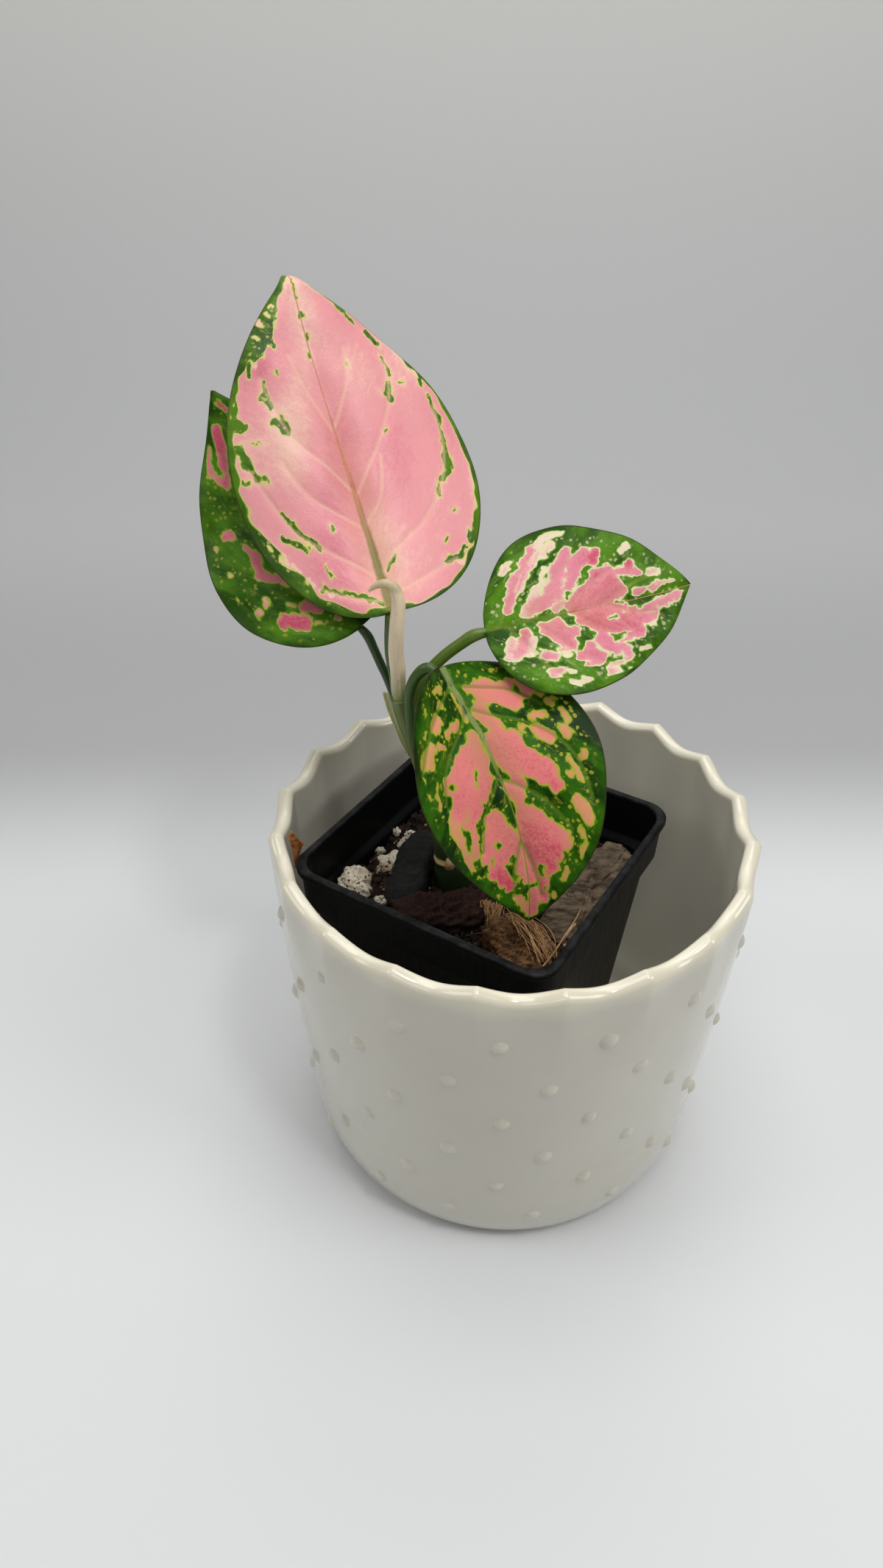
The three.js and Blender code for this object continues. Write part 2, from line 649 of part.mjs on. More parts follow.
// The room inside the nursery pot, a small gap off its walls.
function nurseryRoom() {
  const { foot, wall, ledge, rimHeight, rimHalf, lip } = NURSERY;
  const bottom = foot + wall + GAP;
  const collarHalf = rimHalf - COLLAR_SETBACK - wall - 2 * GAP;
  return loft([
    squareRing(nurseryHalf(bottom) - wall - 2 * GAP, bottom),
    squareRing(nurseryHalf(ledge) - wall - 2 * GAP, ledge - LEDGE_STEP),
    squareRing(collarHalf, ledge + LEDGE_STEP + GAP),
    squareRing(rimHalf - lip - GAP, rimHeight),
  ]);
}

// Chips and perlite on the mix: each one is cut clear of the pot and of those placed before it.
const room = nurseryRoom();
const settled = [cane(GAP)];
function settle(name, make, material) {
  const solid = settled.reduce((left, other) => left.subtract(other), make(0).intersect(room));
  addPiece(name, largestBody(solid), material);
  settled.push(make(GAP));
}

settle('bark_chip', (grow) => lump(CHIPS.bark_chip, grow, 2), MATERIALS.bark);
settle('charcoal_chip', (grow) => lump(CHIPS.charcoal_chip, grow), MATERIALS.charcoal);
settle('husk_chip_dark', (grow) => lump(CHIPS.husk_chip_dark, grow, 2), MATERIALS.darkHusk);
settle('husk_chip', (grow) => {
  const fibres = HUSK_FIBRES.map((path) => tube(path, [1, 1, 1, 0.6].map((k) => k * FIBRE_RADIUS),
    { sides: 4, steps: 7, grow }));
  return join([lump(CHIPS.husk_chip, grow, 2), ...fibres]);
}, MATERIALS.husk);
PERLITE.forEach((grain, index) => {
  settle(`perlite_${index + 1}`, (grow) => lump(grain, grow), MATERIALS.perlite);
});

// Potting mix: fills the nursery pot to below its ledge, with a rough top and a plain hole
// for the cane and for each piece that is bedded in it.
function pottingMix() {
  const bottom = NURSERY.foot + NURSERY.wall + GAP;
  const inside = (z) => nurseryHalf(z) - NURSERY.wall - 2 * GAP;
  const edge = MIX_LEVEL - 1;
  const rings = [squareRing(inside(bottom), bottom, 4, 3), squareRing(inside(edge), edge, 4, 3)];
  const random = seededRandom(41);
  [0.93, 0.8, 0.66, 0.5, 0.32, 0.14].forEach((share) => {
    const ring = squareRing(inside(edge) * share, MIX_LEVEL, 4, 3);
    ring.forEach((p) => { p.z += MIX_BUMP * (2 * random() - 1); });
    rings.push(ring);
  });
  return settled.reduce((left, other) => left.subtract(other), loft(rings));
}

addPiece('potting_mix', largestBody(pottingMix()), MATERIALS.mix);

export default plant;
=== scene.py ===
"""A young pink variegated aroid in a square nursery pot, standing in a scalloped ceramic pot.

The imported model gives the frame. Each section below makes the fine surface of one piece, in
millimetres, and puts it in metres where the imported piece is.
"""

import math

import bpy
import numpy as np
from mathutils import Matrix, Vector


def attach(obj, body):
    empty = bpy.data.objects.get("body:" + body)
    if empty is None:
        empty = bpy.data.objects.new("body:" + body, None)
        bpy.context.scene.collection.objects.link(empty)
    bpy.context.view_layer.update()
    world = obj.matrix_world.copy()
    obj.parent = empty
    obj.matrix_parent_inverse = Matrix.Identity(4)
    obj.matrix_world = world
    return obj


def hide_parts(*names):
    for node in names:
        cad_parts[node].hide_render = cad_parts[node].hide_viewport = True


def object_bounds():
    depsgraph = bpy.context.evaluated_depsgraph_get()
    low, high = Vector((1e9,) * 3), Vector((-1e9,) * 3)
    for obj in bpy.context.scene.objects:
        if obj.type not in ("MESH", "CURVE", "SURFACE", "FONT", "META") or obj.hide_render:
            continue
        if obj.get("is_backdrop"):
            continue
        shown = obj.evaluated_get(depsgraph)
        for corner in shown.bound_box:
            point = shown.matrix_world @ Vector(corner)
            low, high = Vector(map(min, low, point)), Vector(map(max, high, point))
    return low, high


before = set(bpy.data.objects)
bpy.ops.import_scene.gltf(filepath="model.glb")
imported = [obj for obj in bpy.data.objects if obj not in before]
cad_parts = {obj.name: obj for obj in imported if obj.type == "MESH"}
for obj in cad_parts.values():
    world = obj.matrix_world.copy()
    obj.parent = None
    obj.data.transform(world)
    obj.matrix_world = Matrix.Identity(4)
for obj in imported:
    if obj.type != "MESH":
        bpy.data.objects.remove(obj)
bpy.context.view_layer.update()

# Camera, backdrop and light.
# The camera looks down on the pot's front from a hand's reach, with a wide lens. A pale sweep
# stands for floor and wall. Five soft panels light it from above and all round, and a small
# bright one adds a sharper highlight from the front right.
CAMERA_PLACE = (-0.0192, -0.22035, 0.28698)
CAMERA_TILT_DEGREES = 53.2
LENS_MM = 24.0
SENSOR_MM = 36.0
ROOM_STRENGTH = 0.15
# Painted shade and light: the floor is darker towards the back and the wall paler upwards.
# The sweep's tones: an axis, where along it the tone changes, and what it changes to.
SWEEP_PAINTED_LIGHT = [("Y", 0.08, 0.2, "a8a9aa"), ("Y", 0.25, 0.5, "b9babb"), ("Z", 0.0, 0.5, "e4e3df")]
# Each panel's name, place, height of the point on the axis that it faces, size, watts and tint.
PANELS = [
    ("panel_spot", (0.24, -0.37, 1.09), 0.15, 0.13, 1.8, (1.0, 0.99, 0.96)),
    ("panel_top", (0.0, -0.02, 1.4), 0.1, 0.9, 8.0, (1.0, 1.0, 0.98)),
    ("panel_left", (-1.0, -0.1, 0.85), 0.1, 0.6, 2.9, (1.0, 0.99, 0.96)),
    ("panel_right", (0.95, -0.35, 0.9), 0.1, 0.6, 4.8, (1.0, 1.0, 0.98)),
    ("panel_front", (-0.3, -1.0, 0.95), 0.1, 0.5, 1.4, (1.0, 1.0, 0.98)),
    ("panel_back", (0.15, 0.7, 1.1), 0.1, 0.5, 1.4, (1.0, 1.0, 0.99)),
]


def paint(code):
    """Linear colour of a six-digit screen colour code, by the usual screen gamma curve."""
    parts = [int(code[i:i + 2], 16) / 255 for i in (0, 2, 4)]
    return [p / 12.92 if p <= 0.04045 else ((p + 0.055) / 1.055) ** 2.4 for p in parts] + [1.0]


def new_material(name, **values):
    """A node material with one Principled shader, whose constants are set on its own sockets."""
    material = bpy.data.materials.new(name)
    material.use_nodes = True
    tree = material.node_tree
    shader = tree.nodes["Principled BSDF"]
    for key, value in values.items():
        shader.inputs[key.replace("_", " ")].default_value = value
    return material, tree, shader


def put(tree, kind, inputs=None, **settings):
    """Adds a shader node. Each input is a plain value or the output socket of another node."""
    node = tree.nodes.new(kind)
    for key, value in settings.items():
        setattr(node, key, value)
    for key, value in (inputs or {}).items():
        if isinstance(value, bpy.types.NodeSocket):
            tree.links.new(value, node.inputs[key])
        else:
            node.inputs[key].default_value = value
    return node


def step_between(tree, value, low, high):
    """A smooth step from 0 at low to 1 at high. A high below the low turns it round."""
    node = put(tree, "ShaderNodeMapRange", {"Value": value, "From Min": low, "From Max": high},
               interpolation_type="SMOOTHSTEP")
    return node.outputs["Result"]


def mix(tree, factor, first, second):
    """Blend of two colours by a factor."""
    return put(tree, "ShaderNodeMix", {0: factor, 6: first, 7: second}, data_type="RGBA").outputs[2]


def object_place(tree):
    """Places on the piece in metres, from its Object coordinates."""
    return put(tree, "ShaderNodeTexCoord").outputs["Object"]


def parts_of(tree, vector):
    """The X, Y and Z outputs of a vector."""
    return put(tree, "ShaderNodeSeparateXYZ", {0: vector}).outputs


def backdrop_mesh():
    """A sheet carried along a profile: flat floor, a quarter circle upwards, then a flat wall."""
    depth, bend, height, half = 0.5, 0.35, 2.2, 3.0
    turn = np.linspace(0, np.pi / 2, 24)
    y = np.r_[-half, depth + bend * np.sin(turn), depth + bend]
    z = np.r_[0.0, bend * (1 - np.cos(turn)), height]
    points = np.concatenate([np.c_[np.full(len(y), x), y, z] for x in (-half, half)])
    count = len(y)
    faces = [(i, i + count, i + count + 1, i + 1) for i in range(count - 1)]
    mesh = bpy.data.meshes.new("backdrop")
    mesh.from_pydata(points.tolist(), [], faces)
    mesh.shade_smooth()
    return mesh


backdrop = bpy.data.objects.new("backdrop", backdrop_mesh())
bpy.context.collection.objects.link(backdrop)
material, tree, shader = new_material("pale_paper", Roughness=0.85)
where = parts_of(tree, object_place(tree))
tone = paint("dbdddf")
# Painted shade and light: the sweep darkens towards the back and pales up the wall.
for axis, low, high, shade in SWEEP_PAINTED_LIGHT:
    tone = mix(tree, step_between(tree, where[axis], low, high), tone, paint(shade))
tree.links.new(tone, shader.inputs["Base Color"])
backdrop.data.materials.append(material)
backdrop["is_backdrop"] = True

camera_data = bpy.data.cameras.new("camera")
camera_data.lens = LENS_MM
camera_data.sensor_width = SENSOR_MM
camera_data.clip_start = 0.01
camera = bpy.data.objects.new("camera", camera_data)
camera.location = CAMERA_PLACE
camera.rotation_euler = (math.radians(CAMERA_TILT_DEGREES), 0.0, 0.0)
bpy.context.collection.objects.link(camera)
bpy.context.scene.camera = camera

world = bpy.data.worlds.new("room")
world.use_nodes = True
world.node_tree.nodes["Background"].inputs["Color"].default_value = paint("e6e9ee")
world.node_tree.nodes["Background"].inputs["Strength"].default_value = ROOM_STRENGTH
bpy.context.scene.world = world
bpy.context.scene.view_settings.view_transform = "Standard"


def add_panel(name, place, aim_height, size, power, tint):
    """A square soft light at a place, turned to face a point on the pot's axis."""
    light = bpy.data.lights.new(name, "AREA")
    light.size = size
    light.energy = power
    light.color = tint
    lamp = bpy.data.objects.new(name, light)
    away = np.subtract(place, (0, 0, aim_height))
    lamp.location = place
    lamp.rotation_euler = (math.atan2(math.hypot(away[0], away[1]), away[2]), 0.0,
                           math.atan2(away[1], away[0]) + math.pi / 2)
    bpy.context.collection.objects.link(lamp)


for panel in PANELS:
    add_panel(*panel)


# Ceramic pot.
# Cast stoneware under a thick glossy white glaze, on a flat base. The lip is pinched into scallops,
# and drops of clay are set in rows round the wall before the glaze.
MM = 0.001
CERAMIC_HEIGHT = 112.0
CERAMIC_RIM_RADIUS = 65.0
CERAMIC_KNEE = (60.8, 33.0)
CERAMIC_BASE_RADIUS = 52.2
CERAMIC_WALL = 4.3
CERAMIC_FLOOR = (47.0, 6.5)
CERAMIC_LIP = 1.9
SCALLOP_COUNT = 20
SCALLOP_FIRST_DEGREES = 205.56
SCALLOP_DEPTH = 2.5
SCALLOP_LEAN = 0.55
SCALLOP_COLUMNS = 24
FLUTE_START = 84.0
LIP_WOBBLE = 0.0016
DOT_ROWS = 6
DOTS_PER_ROW = 16
DOT_TOP = 94.0
DOT_DROP = 15.3
DOT_START_DEGREES = -95.0
DOT_RADIUS = 2.5
DOT_RISE = 1.25
DOT_POWER = 1.15
DOT_SINK = 0.08
DOT_ROOT = 1.2


def smooth(x):
    """The smooth step 3x² - 2x³ of x held between 0 and 1."""
    x = np.clip(x, 0, 1)
    return x * x * (3 - 2 * x)


def tube_faces(rows, columns):
    """Four-sided faces joining each closed row of points to the next."""
    i, j = np.meshgrid(np.arange(rows - 1), np.arange(columns), indexing="ij")
    a = i * columns + j
    b = i * columns + (j + 1) % columns
    return np.stack([a, b, b + columns, a + columns], axis=-1).reshape(-1, 4).tolist()


def closed_tube(grid):
    """Points and faces of rows of points, rows by columns by 3, with a hub closing each end."""
    rows, columns, _ = grid.shape
    hubs = np.stack([grid[0].mean(axis=0), grid[-1].mean(axis=0)])
    points = np.concatenate([grid.reshape(-1, 3), hubs])
    faces = tube_faces(rows, columns)
    last = (rows - 1) * columns
    hub = rows * columns
    for j in range(columns):
        k = (j + 1) % columns
        faces.append((hub, k, j))
        faces.append((hub + 1, last + j, last + k))
    return points, faces


def join_shapes(shapes):
    """Several (points, faces) as one, with each later shape's faces counted on."""
    points = np.concatenate([p for p, _ in shapes])
    faces = []
    start = 0
    for p, f in shapes:
        faces += [tuple(start + k for k in face) for face in f]
        start += len(p)
    return points, faces


def outward(points, faces):
    """The same shape with its faces turned outwards, where its volume comes out negative.

    The volume is the sum of signed tetrahedra from the first point to each face's triangles.
    """
    total = 0.0
    for size in (3, 4):
        chosen = np.array([f for f in faces if len(f) == size], dtype=int).reshape(-1, size)
        for k in range(1, size - 1):
            a, b, c = (points[chosen[:, n]] - points[0] for n in (0, k, k + 1))
            total += np.einsum("ij,ij->i", a, np.cross(b, c)).sum()
    if total < 0:
        faces = [tuple(reversed(f)) for f in faces]
    return points, faces


def add_piece(name, shape, materials, replaces=(), attributes=None, face_materials=None):
    """A mesh object from points in millimetres, turned outwards, with its attributes and slots."""
    points, faces = outward(*shape)
    mesh = bpy.data.meshes.new(name)
    mesh.from_pydata((points * MM).tolist(), [], [tuple(f) for f in faces])
    mesh.shade_smooth()
    for key, values in (attributes or {}).items():
        kind, field = ("FLOAT", "value") if values.ndim == 1 else ("FLOAT_VECTOR", "vector")
        store = mesh.attributes.new(key, kind, "POINT")
        store.data.foreach_set(field, values.astype(np.float32).ravel())
    for one in materials:
        mesh.materials.append(one)
    if face_materials is not None:
        mesh.polygons.foreach_set("material_index", np.asarray(face_materials, dtype=np.int32))
    piece = bpy.data.objects.new(name, mesh)
    bpy.context.collection.objects.link(piece)
    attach(piece, "root")
    if replaces:
        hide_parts(*replaces)
    return piece


def ripples(points, wavelength, seed, waves=9):
    """A smooth random field, about -1 to 1: a sum of sines in seeded directions and phases."""
    random = np.random.default_rng(seed)
    directions = random.normal(size=(waves, points.shape[-1]))
    directions /= np.linalg.norm(directions, axis=1, keepdims=True)
    stretch = random.uniform(0.7, 1.45, waves)
    phases = random.uniform(0, 2 * np.pi, waves)
    turns = points @ directions.T * (2 * np.pi * stretch / wavelength) + phases
    return np.sin(turns).sum(axis=-1) / math.sqrt(waves / 2)


def ceramic_radius(z):
    """Outer radius: an ellipse's quarter up to the knee, then a sine's quarter up to the rim."""
    radius, height = CERAMIC_KNEE
    low = np.clip(z / height, 0, 1)
    foot = CERAMIC_BASE_RADIUS + (radius - CERAMIC_BASE_RADIUS) * np.sqrt(1 - (1 - low) ** 2)
    rise = np.clip((z - height) / (CERAMIC_HEIGHT - height), 0, 1)
    return np.where(z < height, foot, radius + (CERAMIC_RIM_RADIUS - radius) * np.sin(rise * np.pi / 2))


def ruffle(z):
    """Share of the scallops' bend at a height: a smooth step from the flutes' start to the rim."""
    return smooth((z - FLUTE_START) / (CERAMIC_HEIGHT - FLUTE_START))


def ceramic_shape():
    """The profile (r, z), run round the axis, with scallops near the lip.

    A scallop lowers the lip by six parts of a parabola and four of a raised cosine between two
    peaks, and pulls it in where it is lowest.
    """
    knee_radius, knee = CERAMIC_KNEE
    floor_radius, floor = CERAMIC_FLOOR
    top = CERAMIC_HEIGHT - CERAMIC_LIP
    low = knee * (1 - np.cos(np.linspace(0, np.pi / 2, 26)))
    outer_z = np.r_[low, np.linspace(knee, top, 60)[1:]]
    outer = np.c_[ceramic_radius(outer_z), outer_z]
    turn = np.linspace(0, np.pi, 15)[1:]
    middle = CERAMIC_RIM_RADIUS - CERAMIC_WALL / 2
    lip = np.c_[middle + CERAMIC_WALL / 2 * np.cos(turn), top + CERAMIC_LIP * np.sin(turn)]
    inner_z = np.linspace(top - 1, knee, 24)
    inner = np.c_[ceramic_radius(inner_z) - CERAMIC_WALL, inner_z]
    turn = np.linspace(0, np.pi / 2, 12)[1:]
    bowl_radius = floor_radius + (knee_radius - CERAMIC_WALL - floor_radius) * np.cos(turn)
    bowl = np.c_[bowl_radius, knee - (knee - floor) * np.sin(turn)]
    profile = np.concatenate([outer, lip, inner, bowl])
    columns = SCALLOP_COUNT * SCALLOP_COLUMNS
    angle = math.radians(SCALLOP_FIRST_DEGREES) + np.linspace(0, 2 * np.pi, columns, endpoint=False)
    between = 2 * ((np.arange(columns) / SCALLOP_COLUMNS) % 1) - 1
    bite = 0.6 * (1 - between ** 2) + 0.4 * (0.5 + 0.5 * np.cos(np.pi * between))
    radius = np.repeat(profile[:, :1], columns, axis=1)
    z = np.repeat(profile[:, 1:], columns, axis=1)
    bend = ruffle(z)
    radius = radius + SCALLOP_LEAN * bend * (1 - 2 * bite[None, :])
    z = z - SCALLOP_DEPTH * bite[None, :] * bend
    grid = np.stack([radius * np.cos(angle), radius * np.sin(angle), z], axis=-1)
    grid[..., :2] *= (1 + LIP_WOBBLE * ripples(grid, 60, 5) * bend)[..., None]
    return closed_tube(grid)


def dot_shapes(rings=9, sides=28):
    """Domes laid on the wall, each (1 - (d/R)²) to a power high at a distance d from its centre.

    A seeded draw makes each one a little wider or flatter, as drops from a slip trailer are. The
    edge lies just under the wall's surface, and a flat foot closes the dome inside the wall.
    """
    random = np.random.default_rng(19)
    share = np.sin(np.linspace(0.04, 1, rings) * np.pi / 2)[:, None]
    around = np.linspace(0, 2 * np.pi, sides, endpoint=False)[None, :]
    shapes = []
    for row in range(DOT_ROWS):
        for column in range(DOTS_PER_ROW):
            turn = math.radians(DOT_START_DEGREES) + (column + row % 2 / 2) * 2 * np.pi / DOTS_PER_ROW
            turn += random.normal(0, 0.012)
            height = DOT_TOP - row * DOT_DROP + random.normal(0, 0.5)
            reach = DOT_RADIUS * random.uniform(0.85, 1.08)
            angle = turn + reach * share * np.cos(around) / ceramic_radius(np.array(height))
            z = height + reach * share * np.sin(around)
            dome = (1 - share ** 2) ** DOT_POWER
            rise = DOT_RISE * random.uniform(0.8, 1.1) * dome - DOT_SINK
            radius = ceramic_radius(z) + rise - 0.3 * SCALLOP_LEAN * ruffle(z)
            rows = np.stack([radius * np.cos(angle), radius * np.sin(angle), z], axis=-1)
            inward = np.array([math.cos(turn), math.sin(turn), 0.0])
            shapes.append(closed_tube(np.concatenate([rows, rows[-1:] - DOT_ROOT * inward])))
    return join_shapes(shapes)


def calc(tree, operation, *values):
    """One Math node, whose inputs are numbers or sockets."""
    return put(tree, "ShaderNodeMath", dict(enumerate(values)), operation=operation).outputs[0]


def times(tree, a, b):
    """Product of two numbers or sockets."""
    return calc(tree, "MULTIPLY", a, b)


def plus(tree, a, b):
    """Sum of two numbers or sockets."""
    return calc(tree, "ADD", a, b)


def less(tree, a, b):
    """The first number or socket less the second."""
    return calc(tree, "SUBTRACT", a, b)


def noise(tree, place, scale, detail=3.0, roughness=0.5, distortion=0.0):
    """Noise between 0 and 1 at a place, with scale in waves per unit of that place."""
    node = put(tree, "ShaderNodeTexNoise", {"Vector": place, "Scale": scale, "Detail": detail,
                                            "Roughness": roughness, "Distortion": distortion})
    return node.outputs["Fac"]


def ranged(tree, value, low, high):
    """A value from 0 to 1, laid out from low to high."""
    return put(tree, "ShaderNodeMapRange", {"Value": value, "To Min": low, "To Max": high}).outputs["Result"]


def wire(tree, shader, colour, height, strength, distance):
    """Leads a colour to the shader, and a height through a bump of a strength and a distance."""
    bump = put(tree, "ShaderNodeBump", {"Height": height, "Strength": strength, "Distance": distance})
    tree.links.new(colour, shader.inputs["Base Color"])
    tree.links.new(bump.outputs["Normal"], shader.inputs["Normal"])


# In metres: between which heights the wall spreads and by how much, and where its inside starts.
WALL_SPREAD = [(0.0, 0.033, 0.0085), (0.033, 0.11, 0.0043)]
INNER_WALL_RADII = (0.0508, 0.0494)


def glaze_material():
    """White glaze, mottled and specked faintly. Painted light: paler inside, an ivory highlight on the lip.

    The inside is told by the distance from the axis, less how far the wall has spread by there.
    """
    material, tree, shader = new_material("glazed_ceramic", Roughness=0.11, Coat_Weight=0.35,
                                          Coat_Roughness=0.04)
    place = object_place(tree)
    parts = parts_of(tree, place)
    mottle = noise(tree, place, 38.0, 4.0, 0.6)
    body = mix(tree, mottle, paint("c0bbac"), paint("cbc7b9"))
    reach = put(tree, "ShaderNodeCombineXYZ", {0: parts["X"], 1: parts["Y"]}).outputs[0]
    reach = put(tree, "ShaderNodeVectorMath", {0: reach}, operation="LENGTH").outputs["Value"]
    for low, high, spread in WALL_SPREAD:
        reach = less(tree, reach, times(tree, step_between(tree, parts["Z"], low, high), spread))
    # Painted light: the inside of the pot painted paler than the outside.
    body = mix(tree, step_between(tree, reach, *INNER_WALL_RADII), body, paint("f3efe0"))
    # Painted highlight: the top of the lip painted ivory, broken up by the mottle.
    lip = step_between(tree, plus(tree, parts["Z"], times(tree, mottle, 0.003)), 0.105, 0.1125)
    body = mix(tree, times(tree, lip, 0.55), body, paint("efe7cd"))
    specks = step_between(tree, noise(tree, place, 420.0, 2.0), 0.76, 0.82)
    body = mix(tree, times(tree, specks, 0.12), body, paint("8c7a62"))
    tree.links.new(ranged(tree, noise(tree, place, 90.0), 0.08, 0.17), shader.inputs["Roughness"])
    wire(tree, shader, body, noise(tree, place, 75.0, 1.0), 0.16, 0.0012)
    return material


glaze = glaze_material()
add_piece("ceramic_pot_glazed", ceramic_shape(), [glaze], ["ceramic_pot"])
add_piece("ceramic_dots", dot_shapes(), [glaze])


# Nursery pot.
# Thin black injection-moulded plastic, square and tapered, with a stepped collar under a thick
# lip. It stands turned inside the ceramic pot, on the floor, and has five drain holes.
NURSERY_CENTRE = (-7.0, -1.3)
NURSERY_TURN_DEGREES = -32.1
NURSERY_RIM_HALF = 38.6
NURSERY_CORNER = 6.8
NURSERY_RIM_HEIGHT = 105.0
NURSERY_LEDGE = 91.5
NURSERY_FOOT = 6.8
NURSERY_BASE_HALF = 28.0
NURSERY_SHOULDER_HALF = 35.4
NURSERY_WALL = 1.3
NURSERY_LIP = 2.2
NURSERY_COLLAR_INSET = 0.9
NURSERY_COLLAR_DRAFT = 0.4
NURSERY_SHOULDER = 1.2
DRAIN_RADIUS = 4.0
DRAIN_OFFSET = 17.0


def nursery_place(x, y):
    """Pot coordinates turned about +Z and moved to the pot's place in the frame."""
    turn = math.radians(NURSERY_TURN_DEGREES)
    return (NURSERY_CENTRE[0] + x * math.cos(turn) - y * math.sin(turn),
            NURSERY_CENTRE[1] + x * math.sin(turn) + y * math.cos(turn))


def square_rings(half, z, side=8, corner=10):
    """Rings of a square with round corners, one for each half width and height."""
    half = np.asarray(half, float)[:, None]
    radius = NURSERY_CORNER * half / NURSERY_RIM_HALF
    straight = half - radius
    x_parts, y_parts = [], []
    for quarter in range(4):
        flat = np.linspace(-1, 1, side, endpoint=False)[None, :]
        turn = np.linspace(0, np.pi / 2, corner, endpoint=False)[None, :]
        x = np.concatenate([half + 0 * flat, straight + radius * np.cos(turn)], axis=1)
        y = np.concatenate([straight * flat, straight + radius * np.sin(turn)], axis=1)
        cos, sin = [(1, 0), (0, 1), (-1, 0), (0, -1)][quarter]
        x_parts.append(x * cos - y * sin)
        y_parts.append(x * sin + y * cos)
    x, y = nursery_place(np.concatenate(x_parts, axis=1), np.concatenate(y_parts, axis=1))
    return np.stack([x, y, np.repeat(np.asarray(z, float)[:, None], x.shape[1], axis=1)], axis=-1)


def nursery_half(z):
    """Outer half width of the tapered body, in a straight line from foot to ledge."""
    share = (z - NURSERY_FOOT) / (NURSERY_LEDGE - NURSERY_FOOT)
    return NURSERY_BASE_HALF + (NURSERY_SHOULDER_HALF - NURSERY_BASE_HALF) * share


def rounded(profile, radius=0.35):
    """A profile whose corners are cut twice, a short way from each corner, to round them."""
    points = np.asarray(profile, float)
    for share in (1.0, 0.45):
        out = [points[0]]
        for before, corner, after in zip(points[:-2], points[1:-1], points[2:]):
            for other in (before, after):
                step = other - corner
                length = max(np.hypot(*step), 1e-6)
                out.append(corner + step * min(radius * share / length, 0.3))
        out.append(points[-1])
        points = np.array(out)
    return points


def nursery_shape():
    """A square ring carried over the profile: foot, taper, ledge, collar, lip and back inside."""
    collar = NURSERY_RIM_HALF - NURSERY_COLLAR_INSET
    rim, lip, ledge, wall = NURSERY_RIM_HEIGHT, NURSERY_LIP, NURSERY_LEDGE, NURSERY_WALL
    profile = rounded([
        (NURSERY_BASE_HALF - 1.6, NURSERY_FOOT),
        (NURSERY_BASE_HALF, NURSERY_FOOT),
        (nursery_half(ledge - NURSERY_SHOULDER), ledge - NURSERY_SHOULDER),
        (collar - NURSERY_COLLAR_DRAFT, ledge),
        (collar, rim - lip - 0.5),
        (NURSERY_RIM_HALF, rim - lip),
        (NURSERY_RIM_HALF, rim),
        (NURSERY_RIM_HALF - lip, rim),
        (collar - wall - 0.3, ledge + 0.4),
        (nursery_half(ledge) - wall, ledge - NURSERY_SHOULDER),
        (nursery_half(NURSERY_FOOT) - wall, NURSERY_FOOT + wall),
        (NURSERY_BASE_HALF - 6, NURSERY_FOOT + wall),
    ])
    return closed_tube(square_rings(profile[:, 0], profile[:, 1]))


def cut_drains(piece):
    """Cuts the five round drain holes with a boolean that is applied at once."""
    turn = np.linspace(0, 2 * np.pi, 24, endpoint=False)
    shapes = []
    for x, y in [(0, 0), (1, 1), (1, -1), (-1, 1), (-1, -1)]:
        cx, cy = nursery_place(x * DRAIN_OFFSET, y * DRAIN_OFFSET)
        ring = np.c_[cx + DRAIN_RADIUS * np.cos(turn), cy + DRAIN_RADIUS * np.sin(turn)]
        rows = [np.c_[ring, np.full(len(turn), z)] for z in (NURSERY_FOOT - 3, NURSERY_FOOT + 4)]
        shapes.append(closed_tube(np.stack(rows)))
    points, faces = join_shapes(shapes)
    mesh = bpy.data.meshes.new("drains")
    mesh.from_pydata((points * MM).tolist(), [], faces)
    cutter = bpy.data.objects.new("drains", mesh)
    bpy.context.collection.objects.link(cutter)
    cut = piece.modifiers.new("drains", "BOOLEAN")
    cut.operation = "DIFFERENCE"
    cut.object = cutter
    cut.solver = "EXACT"
    graph = bpy.context.evaluated_depsgraph_get()
    made = bpy.data.meshes.new_from_object(piece.evaluated_get(graph))
    piece.modifiers.clear()
    piece.data = made
    bpy.data.objects.remove(cutter)


def drawn_up(tree, place, squeeze):
    """Places squeezed along Z, so that a pattern on them is drawn out into upright streaks."""
    return put(tree, "ShaderNodeMapping", {"Vector": place, "Scale": (1.0, 1.0, squeeze)}).outputs[0]


def nursery_material():
    """Black plastic: satin, with fine scuffs, a painted grey highlight along the lip and dust in soft
    patches.
    """
    material, tree, shader = new_material("nursery_plastic", Roughness=0.4, Specular_IOR_Level=0.12)
    place = object_place(tree)
    scuff = noise(tree, drawn_up(tree, place, 0.12), 900.0, 2.0, 0.6)
    dust = noise(tree, place, 55.0, 5.0, 0.65)
    lip = step_between(tree, parts_of(tree, place)["Z"], 0.1041, 0.1049)
    # Painted highlight: the lip's top painted grey in broken patches.
    painted_lip_highlight = times(tree, lip, step_between(tree, noise(tree, place, 260.0, 4.0, 0.7), 0.42, 0.7))
    body = mix(tree, times(tree, dust, 0.7), paint("050606"), paint("0d0e10"))
    body = mix(tree, times(tree, painted_lip_highlight, 0.4), body, paint("3a3b3e"))
    specks = step_between(tree, noise(tree, place, 1400.0, 1.0), 0.78, 0.84)
    body = mix(tree, times(tree, specks, 0.35), body, paint("6b655c"))
    tree.links.new(ranged(tree, scuff, 0.3, 0.55), shader.inputs["Roughness"])
    wire(tree, shader, body, noise(tree, place, 1800.0, 2.0), 0.12, 0.0002)
    return material


nursery = add_piece("nursery_pot_moulded", nursery_shape(), [nursery_material()],
                    ["nursery_pot"])
cut_drains(nursery)


